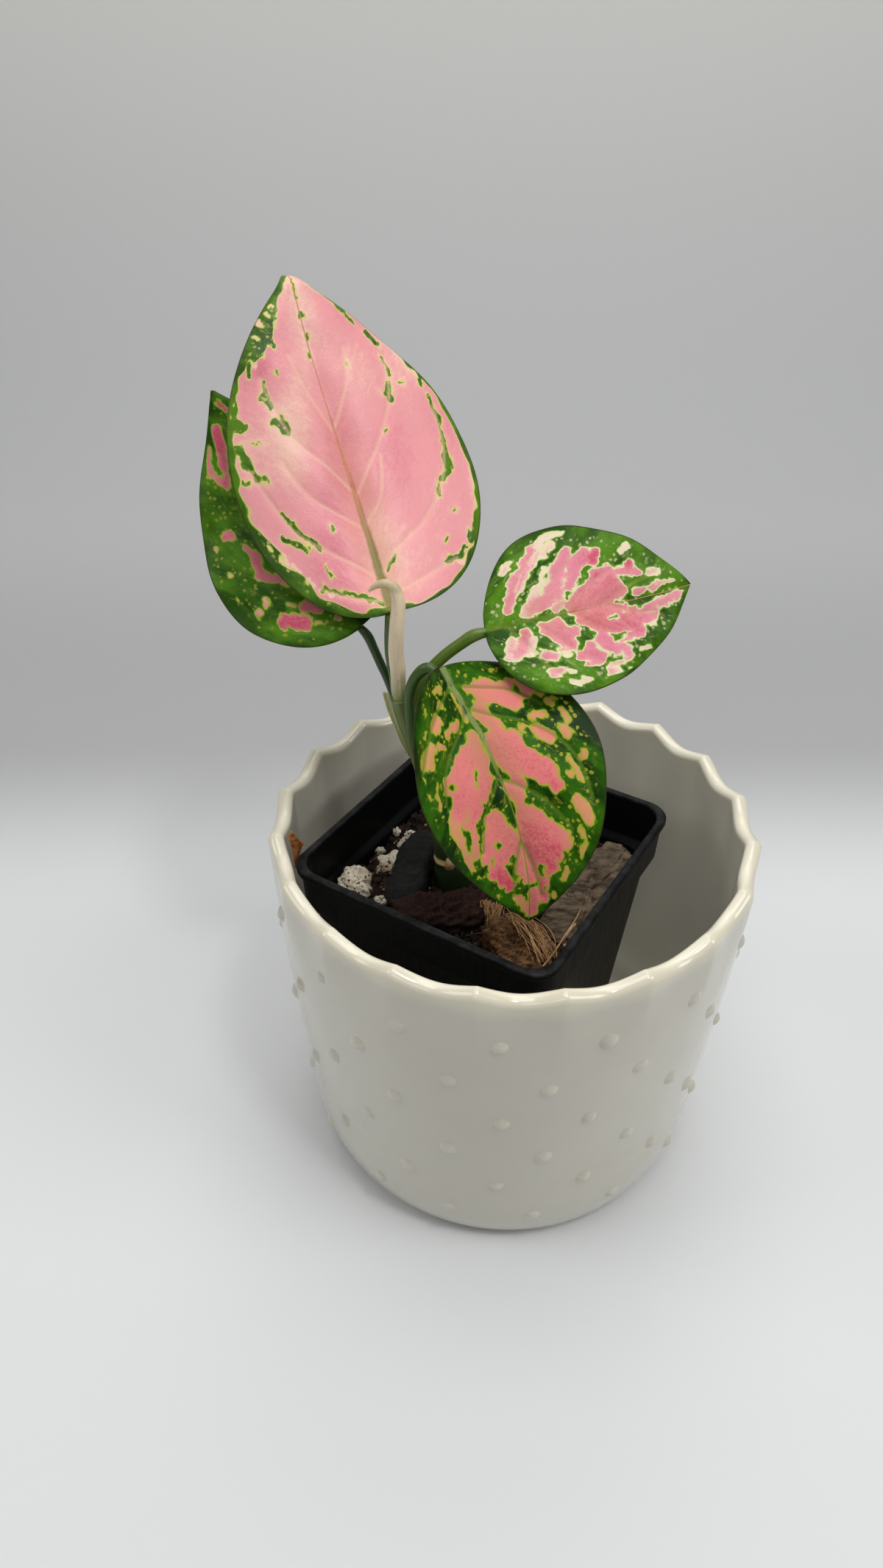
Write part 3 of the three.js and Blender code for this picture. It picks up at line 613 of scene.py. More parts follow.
# Potting mix.
# Damp peat and bark fines, filled by hand to below the ledge. The surface is a crust of crumbs,
# with fine grit, a few pale grains and short fibres lying on it.
MIX_LEVEL = 88.0
MIX_EDGE_GAP = 1.9
MIX_SIDE_POINTS = 34
MIX_CORNER_POINTS = 6


def mix_height(x, y):
    """Level plus slow and quick ripples, so that the surface heaps and pits by about 1.5 mm."""
    at = np.stack([x, y], axis=-1)
    slow = 0.7 * ripples(at, 22, 61)
    return MIX_LEVEL + slow + 0.45 * ripples(at, 6, 62) + 0.25 * ripples(at, 2.4, 63)


def mix_shape():
    """Square rings up the side of the block, then drawn in to its middle over the rough top."""
    edge = nursery_half(MIX_LEVEL) - MIX_EDGE_GAP
    foot = nursery_half(NURSERY_FOOT) - MIX_EDGE_GAP
    heights = [NURSERY_FOOT + 1.7, NURSERY_FOOT + 2.2, MIX_LEVEL - 1.6]
    side = square_rings([foot, foot + 0.3, edge], heights, MIX_SIDE_POINTS, MIX_CORNER_POINTS)
    shares = np.linspace(1, 0.01, 74)
    level = np.full(len(shares), MIX_LEVEL)
    top = square_rings(edge * shares, level, MIX_SIDE_POINTS, MIX_CORNER_POINTS)
    top[..., 2] = mix_height(top[..., 0], top[..., 1])
    top[0, :, 2] = MIX_LEVEL - 1.2
    return closed_tube(np.concatenate([side, top]))


def soil_material(name, shades, wet=0.7):
    """Dark crumb: colour by a slow and a quick noise, each crumb's own shade, and a rough bump."""
    material, tree, shader = new_material(name, Roughness=0.85, Specular_IOR_Level=0.3)
    place = object_place(tree)
    shade = put(tree, "ShaderNodeAttribute", attribute_name="shade").outputs["Fac"]
    quick = noise(tree, place, 900.0, 5.0, 0.7)
    slow = noise(tree, place, 160.0, 3.0)
    body = mix(tree, times(tree, quick, wet), paint(shades[0]), paint(shades[1]))
    body = mix(tree, times(tree, slow, shade), body, paint(shades[2]))
    wire(tree, shader, body, quick, 0.8, 0.0006)
    return material


crust = mix_shape()
add_piece("potting_mix_crust", crust, [soil_material("peat", ("0d0806", "241812", "3a2a1e"))],
          ["potting_mix"], {"shade": 0.5 + 0.5 * ripples(crust[0], 9, 71)})

GOLDEN = (1 + math.sqrt(5)) / 2
ICO_POINTS = np.array([(s, t * GOLDEN, 0) for s in (-1, 1) for t in (-1, 1)]
                      + [(0, s, t * GOLDEN) for s in (-1, 1) for t in (-1, 1)]
                      + [(s * GOLDEN, 0, t) for s in (-1, 1) for t in (-1, 1)]) / math.hypot(1, GOLDEN)


def hull_faces(points):
    """Triangles of a convex set of points: each three whose plane has all others behind it."""
    faces = []
    count = len(points)
    for a in range(count):
        for b in range(a + 1, count):
            for c in range(b + 1, count):
                normal = np.cross(points[b] - points[a], points[c] - points[a])
                side = (points - points[a]) @ normal
                if (side < 1e-6).all():
                    faces.append((a, b, c))
                elif (side > -1e-6).all():
                    faces.append((a, c, b))
    return faces


ICO_FACES = hull_faces(ICO_POINTS)


def crumbs(centres, sizes, seed, roughness=0.3):
    """Many rough twenty-sided lumps at once, each turned at random and stretched to its size."""
    random = np.random.default_rng(seed)
    count = len(centres)
    turn, _ = np.linalg.qr(random.normal(size=(count, 3, 3)))
    turn *= np.sign(np.linalg.det(turn))[:, None, None]
    reach = 1 + roughness * random.uniform(-1, 1, (count, 12, 1))
    local = ICO_POINTS[None] * reach * np.asarray(sizes)[:, None, :] / 2
    points = np.einsum("nij,nkj->nki", turn, local) + np.asarray(centres)[:, None, :]
    starts = 12 * np.arange(count)[:, None, None]
    faces = (np.array(ICO_FACES)[None] + starts).reshape(-1, 3).tolist()
    return points.reshape(-1, 3), faces


def scatter_on_mix(count, seed, reach=32.5, lift=0.0):
    """Seeded places on the mix, spread evenly over the square inside the nursery pot."""
    random = np.random.default_rng(seed)
    x, y = nursery_place(*random.uniform(-reach, reach, (2, count)))
    return np.c_[x, y, mix_height(x, y) + lift]


def add_crumbs(name, count, seed, size_range, shades, flatness=0.75, power=1.6, lift=0.0):
    """Crumbs of many sizes, with few large ones, scattered over the mix."""
    random = np.random.default_rng(seed + 1)
    low, high = size_range
    size = low + (high - low) * random.uniform(0, 1, count) ** power
    sizes = size[:, None] * np.c_[np.ones(count), random.uniform(0.6, 1, count), np.full(count, flatness)]
    centres = scatter_on_mix(count, seed, lift=lift)
    shade = np.repeat(random.uniform(0, 1, count), len(ICO_POINTS))
    add_piece(name, crumbs(centres, sizes, seed + 2), [soil_material(name, shades)],
              attributes={"shade": shade})


add_crumbs("mix_crumbs", 2600, 81, (0.7, 3.2), ("0c0705", "2a1b13", "4a3324"), power=2.2)
add_crumbs("mix_fines", 260, 91, (0.5, 1.5), ("6a4a30", "a07a52", "c2a27a"),
           flatness=0.6, power=1.5, lift=0.5)
add_crumbs("mix_grit", 150, 101, (0.4, 1.5), ("b9ac94", "e5dcc8", "f3ecdc"),
           flatness=0.8, power=2.6, lift=0.5)


def frames_along(path):
    """Tangents, and two normals turned as little as can be from each point to the next."""
    tangent = np.gradient(path, axis=0)
    tangent /= np.linalg.norm(tangent, axis=1, keepdims=True)
    first = np.cross(tangent[0], (0.2, 1.0, 0.1))
    normal = np.empty_like(path)
    normal[0] = first / np.linalg.norm(first)
    for i in range(1, len(path)):
        side = normal[i - 1] - tangent[i] * (normal[i - 1] @ tangent[i])
        normal[i] = side / np.linalg.norm(side)
    return tangent, normal, np.cross(tangent, normal)


def smooth_path(points, steps):
    """A Catmull-Rom curve through the points, sampled in equal parts of its index."""
    p = np.asarray(points, float)
    if p.ndim == 1:
        p = p[:, None]
    padded = np.concatenate([2 * p[:1] - p[1:2], p, 2 * p[-1:] - p[-2:-1]])
    place = np.linspace(0, len(p) - 1, steps)
    index = np.minimum(place.astype(int), len(p) - 2)
    t = (place - index)[:, None]
    a, b, c, d = (padded[index + k] for k in range(4))
    square, cube = 2 * a - 5 * b + 4 * c - d, 3 * b - a - 3 * c + d
    return 0.5 * (2 * b + (c - a) * t + square * t ** 2 + cube * t ** 3)


def stalk(points, radii, steps=60, sides=20, flatten=None):
    """A round section carried along a smooth path, with its radius blended along the way."""
    path = smooth_path(points, steps)
    radius = smooth_path(radii, steps)[:, 0]
    _, normal, binormal = frames_along(path)
    angle = np.linspace(0, 2 * np.pi, sides, endpoint=False)
    wide = radius[:, None, None]
    cos, sin = np.cos(angle)[None, :, None], np.sin(angle)[None, :, None]
    around = cos * normal[:, None] + sin * binormal[:, None]
    if flatten is not None:
        wide = wide * flatten(np.linspace(0, 1, steps)[:, None], angle[None, :])[..., None]
    return path[:, None] + wide * around


def fibre_shape(starts, ends, seed, radius, arch, wander, steps=9):
    """Thin three-sided hairs: each bows up from its start to its end, with a small seeded wander."""
    random = np.random.default_rng(seed)
    share = np.linspace(0, 1, steps)
    shapes = []
    for start, end in zip(starts, ends):
        bow = np.sin(np.pi * share)[:, None]
        aside = random.normal(size=3) * wander
        path = start + (end - start) * share[:, None] + bow * (aside + np.array([0, 0, arch]))
        thin = radius * random.uniform(0.6, 1.2) * np.array([0.8, 1, 1, 0.9, 0.4])
        shapes.append(closed_tube(stalk(path, thin, steps, 3)))
    return join_shapes(shapes)


def fibre_material(name, dark, light):
    """Dry fibre: two straw colours mixed by a quick noise, with a fine grain."""
    material, tree, shader = new_material(name, Roughness=0.6)
    place = object_place(tree)
    body = mix(tree, noise(tree, place, 700.0, 3.0), paint(dark), paint(light))
    wire(tree, shader, body, noise(tree, place, 2600.0, 1.0), 0.4, 0.0002)
    return material


HAIR_COUNT = 70
random = np.random.default_rng(111)
hair_starts = scatter_on_mix(HAIR_COUNT, 112, lift=0.6)
hair_reach = np.c_[random.normal(0, 4, (HAIR_COUNT, 2)), random.uniform(-0.3, 0.8, HAIR_COUNT)]
hairs = fibre_shape(hair_starts, hair_starts + hair_reach, 113, radius=0.11, arch=0.8, wander=0.6)
add_piece("mix_fibres", hairs, [fibre_material("loose_fibre", "4a2d18", "a87c4c")])


# Chips on the mix.
# A plate of weathered bark, a stick of charcoal and two lumps of coconut husk, laid on the mix by
# hand and half bedded in it. The husk lumps are ribbed where they were cut across the fibres.


def turn_matrix(euler):
    """Rotation about X, times rotation about Y, times rotation about Z."""
    (cx, cy, cz), (sx, sy, sz) = np.cos(euler), np.sin(euler)
    about_x = np.array([[1, 0, 0], [0, cx, -sx], [0, sx, cx]])
    about_y = np.array([[cy, 0, sy], [0, 1, 0], [-sy, 0, cy]])
    about_z = np.array([[cz, -sz, 0], [sz, cz, 0], [0, 0, 1]])
    return about_x @ about_y @ about_z


def ball_grid(rows, columns):
    """Unit directions in closed rows from the foot of a ball to its top."""
    up = np.linspace(-np.pi / 2 + 0.04, np.pi / 2 - 0.04, rows)[:, None]
    turn = np.linspace(0, 2 * np.pi, columns, endpoint=False)[None, :]
    return np.stack([np.cos(up) * np.cos(turn), np.cos(up) * np.sin(turn), np.sin(up) + 0 * turn], axis=-1)


def chip_shape(size, at, euler, boxiness, relief, rows=80, columns=150):
    """A ball pulled towards a box, with relief along its own directions, turned and placed."""
    way = ball_grid(rows, columns)
    reach = (np.abs(way) ** boxiness).sum(axis=-1) ** (-1 / boxiness)
    local = way * reach[..., None] * np.asarray(size) / 2
    local += way * relief(local)[..., None]
    return closed_tube(local @ turn_matrix(euler).T + np.asarray(at))


def bark_relief(p):
    """Long plates split by narrow cracks, with a chipped outline."""
    along = p * np.array([0.35, 1.0, 1.0])
    plates = -0.55 * np.exp(-(ripples(along, 5.5, 201) / 0.16) ** 2)
    return plates + 0.5 * ripples(p, 11, 202) + 0.25 * ripples(p, 3.5, 203) + 0.1 * ripples(p, 1.2, 204)


def charcoal_relief(p):
    """Slow ripples drawn out along the stick, with small knocks."""
    return 0.35 * ripples(p * np.array([0.4, 1, 1]), 8, 211) + 0.12 * ripples(p, 2.2, 212)


def husk_relief(p):
    """Ribs that run down the cut side, about 1.1 mm apart, over a lumpy outline."""
    ribs = 0.28 * np.sin(2 * np.pi * (p[..., 0] + 0.5 * ripples(p, 9, 221)) / 1.15)
    return ribs + 0.45 * ripples(p, 9, 222) + 0.3 * ripples(p, 2.6, 223)


def chip_material(name, dark, light, flank, grain, rough_scale):
    """Weathered wood: streaks along the piece, a flank colour off its flat top, and deep pores."""
    material, tree, shader = new_material(name, Roughness=0.9, Specular_IOR_Level=0.25)
    place = object_place(tree)
    streaks = put(tree, "ShaderNodeMapping", {"Vector": place, "Rotation": (0, 0, -0.93),
                                              "Scale": (grain, 1.0, 1.0)}).outputs[0]
    quick = noise(tree, streaks, rough_scale, 6.0, 0.68)
    slow = noise(tree, place, 130.0, 3.0)
    body = mix(tree, step_between(tree, quick, 0.3, 0.72), paint(dark), paint(light))
    up = parts_of(tree, put(tree, "ShaderNodeNewGeometry").outputs["True Normal"])["Z"]
    side = step_between(tree, plus(tree, up, times(tree, slow, 0.5)), 0.95, 0.55)
    body = mix(tree, side, body, mix(tree, quick, paint(flank[0]), paint(flank[1])))
    wire(tree, shader, body, quick, 0.7, 0.0008)
    return material


# Each chip's piece, node and slot, its size, place, turns, boxiness and relief, then its colours.
CHIPS = [
    ("bark_chip_plate", "bark_chip", "bark",
     ((38, 13, 9), (20.6, -10.6, 90.6), (0.25, 0.05, 0.93), 5, bark_relief),
     ("weathered_bark", "372c23", "82725e", ("30180f", "6e422e"), 0.3, 520.0)),
    ("charcoal_stick", "charcoal_chip", "charcoal",
     ((30, 10.5, 10), (-27.1, 1, 90), (0.1, -0.03, 1.29), 4, charcoal_relief),
     ("charcoal", "0c0d0c", "232523", ("090a09", "191b19"), 0.5, 420.0)),
    ("husk_lump_dark", "husk_chip_dark", "dark_husk",
     ((25, 12.5, 10), (-19.6, -15.6, 88.6), (0.12, 0, 0.12), 6, husk_relief),
     ("dark_husk", "140a07", "40241b", ("0a0504", "24120d"), 0.4, 1100.0)),
    ("husk_lump_front", "husk_chip", "husk",
     ((18, 14, 12), (0.6, -28.4, 88), (0.1, 0.06, -1.05), 6, husk_relief),
     ("tan_husk", "24150a", "8a6440", ("1c0e06", "704724"), 0.4, 1000.0)),
]

for piece, node, slot, form, look in CHIPS:
    add_piece(piece, chip_shape(*form), [chip_material(*look)], [node])


def spread_between(a, b, count, seed, jitter):
    """Places strung from a to b, each moved a little by the seeded draw."""
    random = np.random.default_rng(seed)
    share = random.uniform(0, 1, count)[:, None]
    return np.asarray(a) + (np.subtract(b, a)) * share + random.normal(0, jitter, (count, 3))


FAN_COUNT = 44
TUFT_COUNT = 60
fan_starts = spread_between((-3.4, -20.0, 94.8), (4.4, -24.6, 95.2), FAN_COUNT, 231, 0.7)
fan_ends = spread_between((11.4, -32.0, 93.0), (5.0, -37.6, 92.6), FAN_COUNT, 232, 0.9)
tuft_starts = spread_between((-8.6, -15.6, 95.2), (-2.6, -18.0, 95.6), TUFT_COUNT, 234, 0.4)
tuft_ends = spread_between((-9.2, -20.4, 88.6), (-3.4, -21.6, 89.4), TUFT_COUNT, 235, 0.8)
fan = fibre_shape(fan_starts, fan_ends, 233, radius=0.16, arch=2.0, wander=1.1, steps=12)
tuft = fibre_shape(tuft_starts, tuft_ends, 236, radius=0.13, arch=0.2, wander=0.5, steps=9)
add_piece("husk_fibres", join_shapes([fan, tuft]),
          [fibre_material("husk_fibre", "8a5628", "f0c48c")])

STRAY_FIBRES = [
    [(6.3, -37.2, 92.6), (9.6, -32.8, 93.4), (12.8, -27.6, 94.2), (15.6, -23.4, 95.2), (17.3, -20.4, 96.4)],
    [(12.4, -28.6, 93.6), (14.2, -26.2, 94.6), (15.5, -25.0, 95.6), (15.2, -26.4, 96.0)],
]
STRAY_RADII = (0.16, 0.22, 0.2, 0.1)
strays = join_shapes([closed_tube(stalk(path, STRAY_RADII, steps=30, sides=6)) for path in STRAY_FIBRES])
add_piece("stray_fibres", strays, [fibre_material("pale_fibre", "a3774a", "e2bf90")])


# Perlite.
# Grains of puffed volcanic glass, chalky white and pitted, with peat in the pits. Seven of them
# lie on the mix and are large enough to pick up.
# Node, size and place of each grain.
PERLITE = [
    ("perlite_1", (10, 13, 8), (-43.6, -3.8, 90.2)),
    ("perlite_2", (7.6, 7, 6), (-33.2, 4, 90.4)),
    ("perlite_3", (5.4, 4.6, 4.4), (-29.4, 12.8, 90.2)),
    ("perlite_4", (4, 3.4, 3), (-28.4, 17.8, 90)),
    ("perlite_5", (2.8, 2.4, 2.2), (-37, 11.4, 89.4)),
    ("perlite_6", (2.6, 2.6, 2.2), (-32.4, 20, 89.4)),
    ("perlite_7", (3.6, 3, 2.8), (-36, -10.6, 89.8)),
]


def perlite_shape(size, at, seed):
    """A ball with lobes, each set off by a crease, and round pits where the second field peaks."""
    rows, columns = (70, 120) if max(size) > 6 else (36, 60)
    way = ball_grid(rows, columns)
    local = way * np.asarray(size) / 2
    scale = max(size)
    lobes = np.abs(ripples(local, scale * 0.75, seed))
    reach = 0.84 + 0.22 * lobes - 0.16 * smooth((ripples(local, scale * 0.3, seed + 1) - 0.7) / 0.4)
    reach = reach + 0.035 * ripples(local, scale * 0.16, seed + 2)
    return closed_tube(local * reach[..., None] + np.asarray(at))


def perlite_material():
    """Chalk white with tan stains and dark pits, strongly bumped."""
    material, tree, shader = new_material("perlite", Roughness=0.95, Specular_IOR_Level=0.2)
    place = object_place(tree)
    stain = noise(tree, place, 260.0, 4.0, 0.65)
    pits = put(tree, "ShaderNodeTexVoronoi", {"Vector": place, "Scale": 820.0}).outputs["Distance"]
    pit = times(tree, step_between(tree, pits, 0.38, 0.18), step_between(tree, stain, 0.36, 0.52))
    body = mix(tree, step_between(tree, stain, 0.4, 0.75), paint("efe6d4"), paint("c0a583"))
    body = mix(tree, pit, body, paint("4c3526"))
    wire(tree, shader, body, less(tree, noise(tree, place, 1100.0, 4.0, 0.7), pit), 0.8, 0.0007)
    return material


perlite_white = perlite_material()
for order, (node, size, at) in enumerate(PERLITE):
    add_piece(f"{node}_grain", perlite_shape(size, at, 300 + 7 * order), [perlite_white], [node])


# Cane and shoot.
# The cut-back cane is bedded in the mix. It narrows past a pale leaf scar and leans up into the
# young shoot, and a thin pale sheath stands open at its top.
CANE_PATH = [(-15.4, 0, 66), (-15.8, 0, 86), (-16.1, 0, 93.5), (-17, 0, 97.5), (-18.2, 0.1, 106),
             (-20.6, 0.3, 116), (-23.2, 0.4, 126), (-25.6, 0.4, 134), (-28, 0.1, 142), (-29.6, -0.9, 149.2)]
CANE_RADII = [4.6, 5.2, 5.2, 4.2, 3.7, 3.2, 2.8, 2.5, 2.1, 1.75]
SCAR_HEIGHT = 97.6
BUD_PATH = [(-17.0, -4.2, 97.2), (-17.2, -4.8, 98.6), (-17.6, -4.6, 100.2)]
BUD_RADII = [1.5, 1.1, 0.3]


def cane_shape():
    """A round stalk, with a ring ridge at the scar and faint ribs along it."""
    grid = stalk(CANE_PATH, CANE_RADII, steps=150, sides=40)
    centre = grid.mean(axis=1, keepdims=True)
    out = grid - centre
    length = np.linalg.norm(out, axis=-1, keepdims=True)
    ring = np.exp(-((grid[..., 2] - SCAR_HEIGHT - 0.25 * (grid[..., 0] + 17)) / 0.55) ** 2)
    ribs = 0.05 * np.sin(9 * np.linspace(0, 2 * np.pi, grid.shape[1], endpoint=False))
    return closed_tube(grid + out / length * (0.35 * ring + ribs)[..., None])


def stem_material(name, low, high, heights, accent=None):
    """Living stem: one green low and one high, fine streaks along it, and a satin skin."""
    material, tree, shader = new_material(name, Roughness=0.38, Subsurface_Weight=0.08,
                                          Subsurface_Scale=0.002)
    place = object_place(tree)
    z = parts_of(tree, place)["Z"]
    streak = noise(tree, drawn_up(tree, place, 0.08), 1500.0, 3.0, 0.6)
    body = mix(tree, step_between(tree, z, *heights), paint(low), paint(high))
    body = mix(tree, times(tree, streak, 0.35), body, paint("1f3312"))
    if accent is not None:
        colour, centre, width = accent
        off = calc(tree, "ABSOLUTE", less(tree, z, centre))
        body = mix(tree, step_between(tree, off, width, width * 0.35), body, paint(colour))
    wire(tree, shader, body, streak, 0.15, 0.0003)
    return material


cane_green = stem_material("cane_green", "1f2a14", "76864a", heights=(0.094, 0.128),
                           accent=("c9ab7c", 0.0978, 0.0012))
add_piece("cane_stem", cane_shape(), [cane_green], ["cane"])
bud_tan = stem_material("bud_tan", "8a6d48", "c5a878", heights=(0.096, 0.101))
add_piece("cane_bud", closed_tube(stalk(BUD_PATH, BUD_RADII, steps=16, sides=16)), [bud_tan])

SHEATH_INNER = [(-26.9, -0.2, 131.5), (-28.6, 0, 136), (-30.1, 0.3, 141), (-31.3, 0.7, 145.6),
                (-32.2, 1, 149.4)]
SHEATH_OUTER = [(-27.6, -1, 131.8), (-29.6, -0.6, 135.8), (-31.3, 0, 140.6), (-32.9, 0.6, 145.2),
                (-33.9, 1, 149.8)]


def leaf_like(inner, outer, bow, thickness, rows=40, columns=12, ragged=0.0, seed=1):
    """A thin closed sheet between two curves, bowed out by a half sine from one to the other.

    A ragged one has its far end moved along by ripples that grow with the sixth power of the way.
    """
    a, b = smooth_path(inner, rows), smooth_path(outer, rows)
    u = np.linspace(0, 1, columns)
    side = b - a
    along = np.gradient(a, axis=0)
    face = np.cross(side, along)
    face /= np.linalg.norm(face, axis=1, keepdims=True)
    middle = a[:, None] + side[:, None] * u[None, :, None]
    middle += face[:, None] * (bow * np.sin(np.pi * u))[None, :, None]
    if ragged:
        tear = ragged * ripples(np.c_[u, 0 * u], 0.35, seed) * 0.5
        late = (np.linspace(0, 1, rows) ** 6)[:, None, None]
        middle += along[:, None] * late * tear[None, :, None] * 8
    half = thickness / 2 * np.sqrt(np.clip(1 - (2 * u - 1) ** 8, 0.02, 1))
    top = middle + face[:, None] * half[None, :, None]
    under = (middle - face[:, None] * half[None, :, None])[:, ::-1]
    return closed_tube(np.concatenate([top, under], axis=1))


def sheath_material():
    """Papery skin: pale green, with fine upright streaks, and a little light coming through."""
    material, tree, shader = new_material("papery_sheath", Roughness=0.45, Subsurface_Weight=0.3,
                                          Subsurface_Scale=0.003)
    streak = noise(tree, drawn_up(tree, object_place(tree), 0.1), 1800.0, 2.0)
    wire(tree, shader, mix(tree, streak, paint("93a86a"), paint("cfd3a4")), streak, 0.3, 0.0003)
    return material


flap = leaf_like(SHEATH_INNER, SHEATH_OUTER, bow=0.3, thickness=0.45)
add_piece("sheath_flap", flap, [sheath_material()], ["papery_sheath"])

# New leaf.
# The next leaf, still rolled tight into a cream spike. Its tip hooks over to the left and is
# stained brown there.
NEW_LEAF_PATH = [(-29.3, -0.6, 147.6), (-29.8, -1.2, 151.5), (-29.8, -1.8, 157.3), (-30.1, -2.3, 163.5),
                 (-29.7, -2.9, 170.5), (-29.2, -3, 176.2), (-30, -3, 179.9), (-32, -3, 181.2),
                 (-34, -3, 180.7), (-35.8, -3, 179.4)]
NEW_LEAF_RADII = [0.9, 1.75, 1.95, 1.95, 1.85, 1.7, 1.45, 1.1, 0.8, 0.35]


def lapped(share, angle):
    """Radius by the angle: it shrinks by a fifth over one turn, then steps back where it laps."""
    turned = (angle - 2.2 + 1.2 * share) / (2 * np.pi) % 1
    return 1.06 - 0.2 * turned * smooth(share * 6)


def new_leaf_material():
    """Cream pink, greener at the foot, with fine streaks and a brown stain at the hook."""
    material, tree, shader = new_material("rolled_leaf", Roughness=0.36, Subsurface_Weight=0.2,
                                          Subsurface_Scale=0.002)
    place = object_place(tree)
    z = parts_of(tree, place)["Z"]
    streak = noise(tree, drawn_up(tree, place, 0.06), 1300.0, 3.0, 0.6)
    body = mix(tree, step_between(tree, z, 0.147, 0.162), paint("93a05a"), paint("ecdabb"))
    body = mix(tree, times(tree, step_between(tree, streak, 0.45, 0.75), 0.4), body, paint("d8b396"))
    body = mix(tree, times(tree, step_between(tree, z, 0.1785, 0.1805), 0.5), body, paint("8a7f45"))
    wire(tree, shader, body, streak, 0.2, 0.0003)
    return material


rolled = closed_tube(stalk(NEW_LEAF_PATH, NEW_LEAF_RADII, steps=140, sides=48, flatten=lapped))
add_piece("rolled_leaf", rolled, [new_leaf_material()], ["new_leaf"])


# Leaves.
# Each leaf is one blade on its own stalk. The blade hangs on the midrib, cups or arches across,
# and dips along its side veins. Its pink is the absence of green, so the patches run between the
# side veins and are edged by a cream and a yellow-green band.
BLADE_THICKNESS = 0.6
TIP_HALF_WIDTH = 0.12
CURL_RADIUS = 5.0
FOLD_REACH = 4.5


def distance_to_line(x, y, line):
    """Distance of each place (x, y) to the nearest of a line's short straight parts."""
    best = np.full(x.shape, 1e9)
    for (x0, y0), (x1, y1) in zip(line[:-1], line[1:]):
        dx, dy = x1 - x0, y1 - y0
        t = np.clip(((x - x0) * dx + (y - y0) * dy) / (dx * dx + dy * dy + 1e-9), 0, 1)
        best = np.minimum(best, np.hypot(x - x0 - t * dx, y - y0 - t * dy))
    return best


def bezier(points, t):
    """Place and unit direction on a cubic curve with four control points."""
    p = np.asarray(points, float)
    t = t[..., None]
    place = (1 - t) ** 3 * p[0] + 3 * (1 - t) ** 2 * t * p[1] + 3 * (1 - t) * t ** 2 * p[2] + t ** 3 * p[3]
    way = (1 - t) ** 2 * (p[1] - p[0]) + 2 * (1 - t) * t * (p[2] - p[1]) + t ** 2 * (p[3] - p[2])
    return place, way / np.linalg.norm(way, axis=-1, keepdims=True)


def blade_length(leaf):
    """Length of the midrib, and with the curled tip added."""
    place, _ = bezier(leaf["midrib"], np.linspace(0, 1, 400))
    rib = np.linalg.norm(np.diff(place, axis=0), axis=1).sum()
    return rib, rib + leaf.get("curl", 0.0)


def half_width(leaf, v):
    """An ellipse's quarter up to the widest place, then a power of 1 - s² to the tip."""
    widest = leaf["widest"]
    low = np.sqrt(np.clip(1 - (1 - np.minimum(v / widest, 1)) ** 2, 0, 1))
    s = np.clip((v - widest) / (1 - widest), 0, 1)
    return leaf["width"] / 2 * np.where(v < widest, low, (1 - s * s) ** leaf["taper"])


def blade_places(leaf, u, v):
    """Middle surface of the blade, its face direction, and x across and y along, in millimetres.

    Along v it follows the midrib, then an arc for the curled tip. Across u it rises by a parabola
    for the cup and a sine that grows towards the margin, and it sinks by a bell along the midrib.
    """
    rib, whole = blade_length(leaf)
    start = rib / whole
    t = np.minimum(v / start, 1)
    place, along = bezier(leaf["midrib"], t)
    lean = np.asarray(leaf["face_base"]) * (1 - t[..., None]) + np.asarray(leaf["face_tip"]) * t[..., None]
    across = np.cross(along, lean)
    across /= np.linalg.norm(across, axis=-1, keepdims=True)
    out = np.cross(across, along)
    turn = (np.maximum(v - start, 0) * whole / CURL_RADIUS)[..., None]
    place = place + along * CURL_RADIUS * np.sin(turn) - out * CURL_RADIUS * (1 - np.cos(turn))
    face = out * np.cos(turn) + along * np.sin(turn)
    half = np.maximum(half_width(leaf, v), TIP_HALF_WIDTH) * (1 - np.sign(u) * leaf["skew"])
    wave = leaf["wave"] * np.sin(7 * np.pi * v + 2 * u) * np.abs(u) ** 3
    bell = leaf["fold"] * np.exp(-(u * half / FOLD_REACH) ** 2)
    fold = bell * smooth(v / 0.12) * smooth((1 - v) / 0.4)
    lift = leaf["cup"] * u * u * half + (wave - fold)
    place = place + across * (u * half)[..., None] + face * lift[..., None]
    return place, face, u * half, v * whole, half


def soft_union(distances, blend=0.35):
    """Smooth largest of many distances: the logarithm of the sum of their exponentials."""
    return blend * np.logaddexp.reduce(distances / blend, axis=0)


def patch_distance(strokes, x, y):
    """Depth inside any of the strokes, each a round-ended band from one place to another.

    A stroke is (x0, y0, x1, y1, width, tone). The tone of a place is that of the strokes round
    it, weighed by how deep it lies in each.
    """
    depths, tones = [], []
    for x0, y0, x1, y1, width, tone in strokes:
        line = np.array([(x0, y0), (x1, y1)], float)
        depths.append(width / 2 - distance_to_line(x, y, line))
        tones.append(tone)
    depths = np.array(depths)
    weight = np.exp((depths - depths.max(axis=0)) / 0.8)
    tone = (weight * np.array(tones)[:, None, None]).sum(axis=0) / weight.sum(axis=0)
    return soft_union(depths), tone


def mirrored(lines):
    """Lines on one half of a blade, and their mirror images on its other half."""
    return lines + [[(-x, y) for x, y in line] for line in lines]


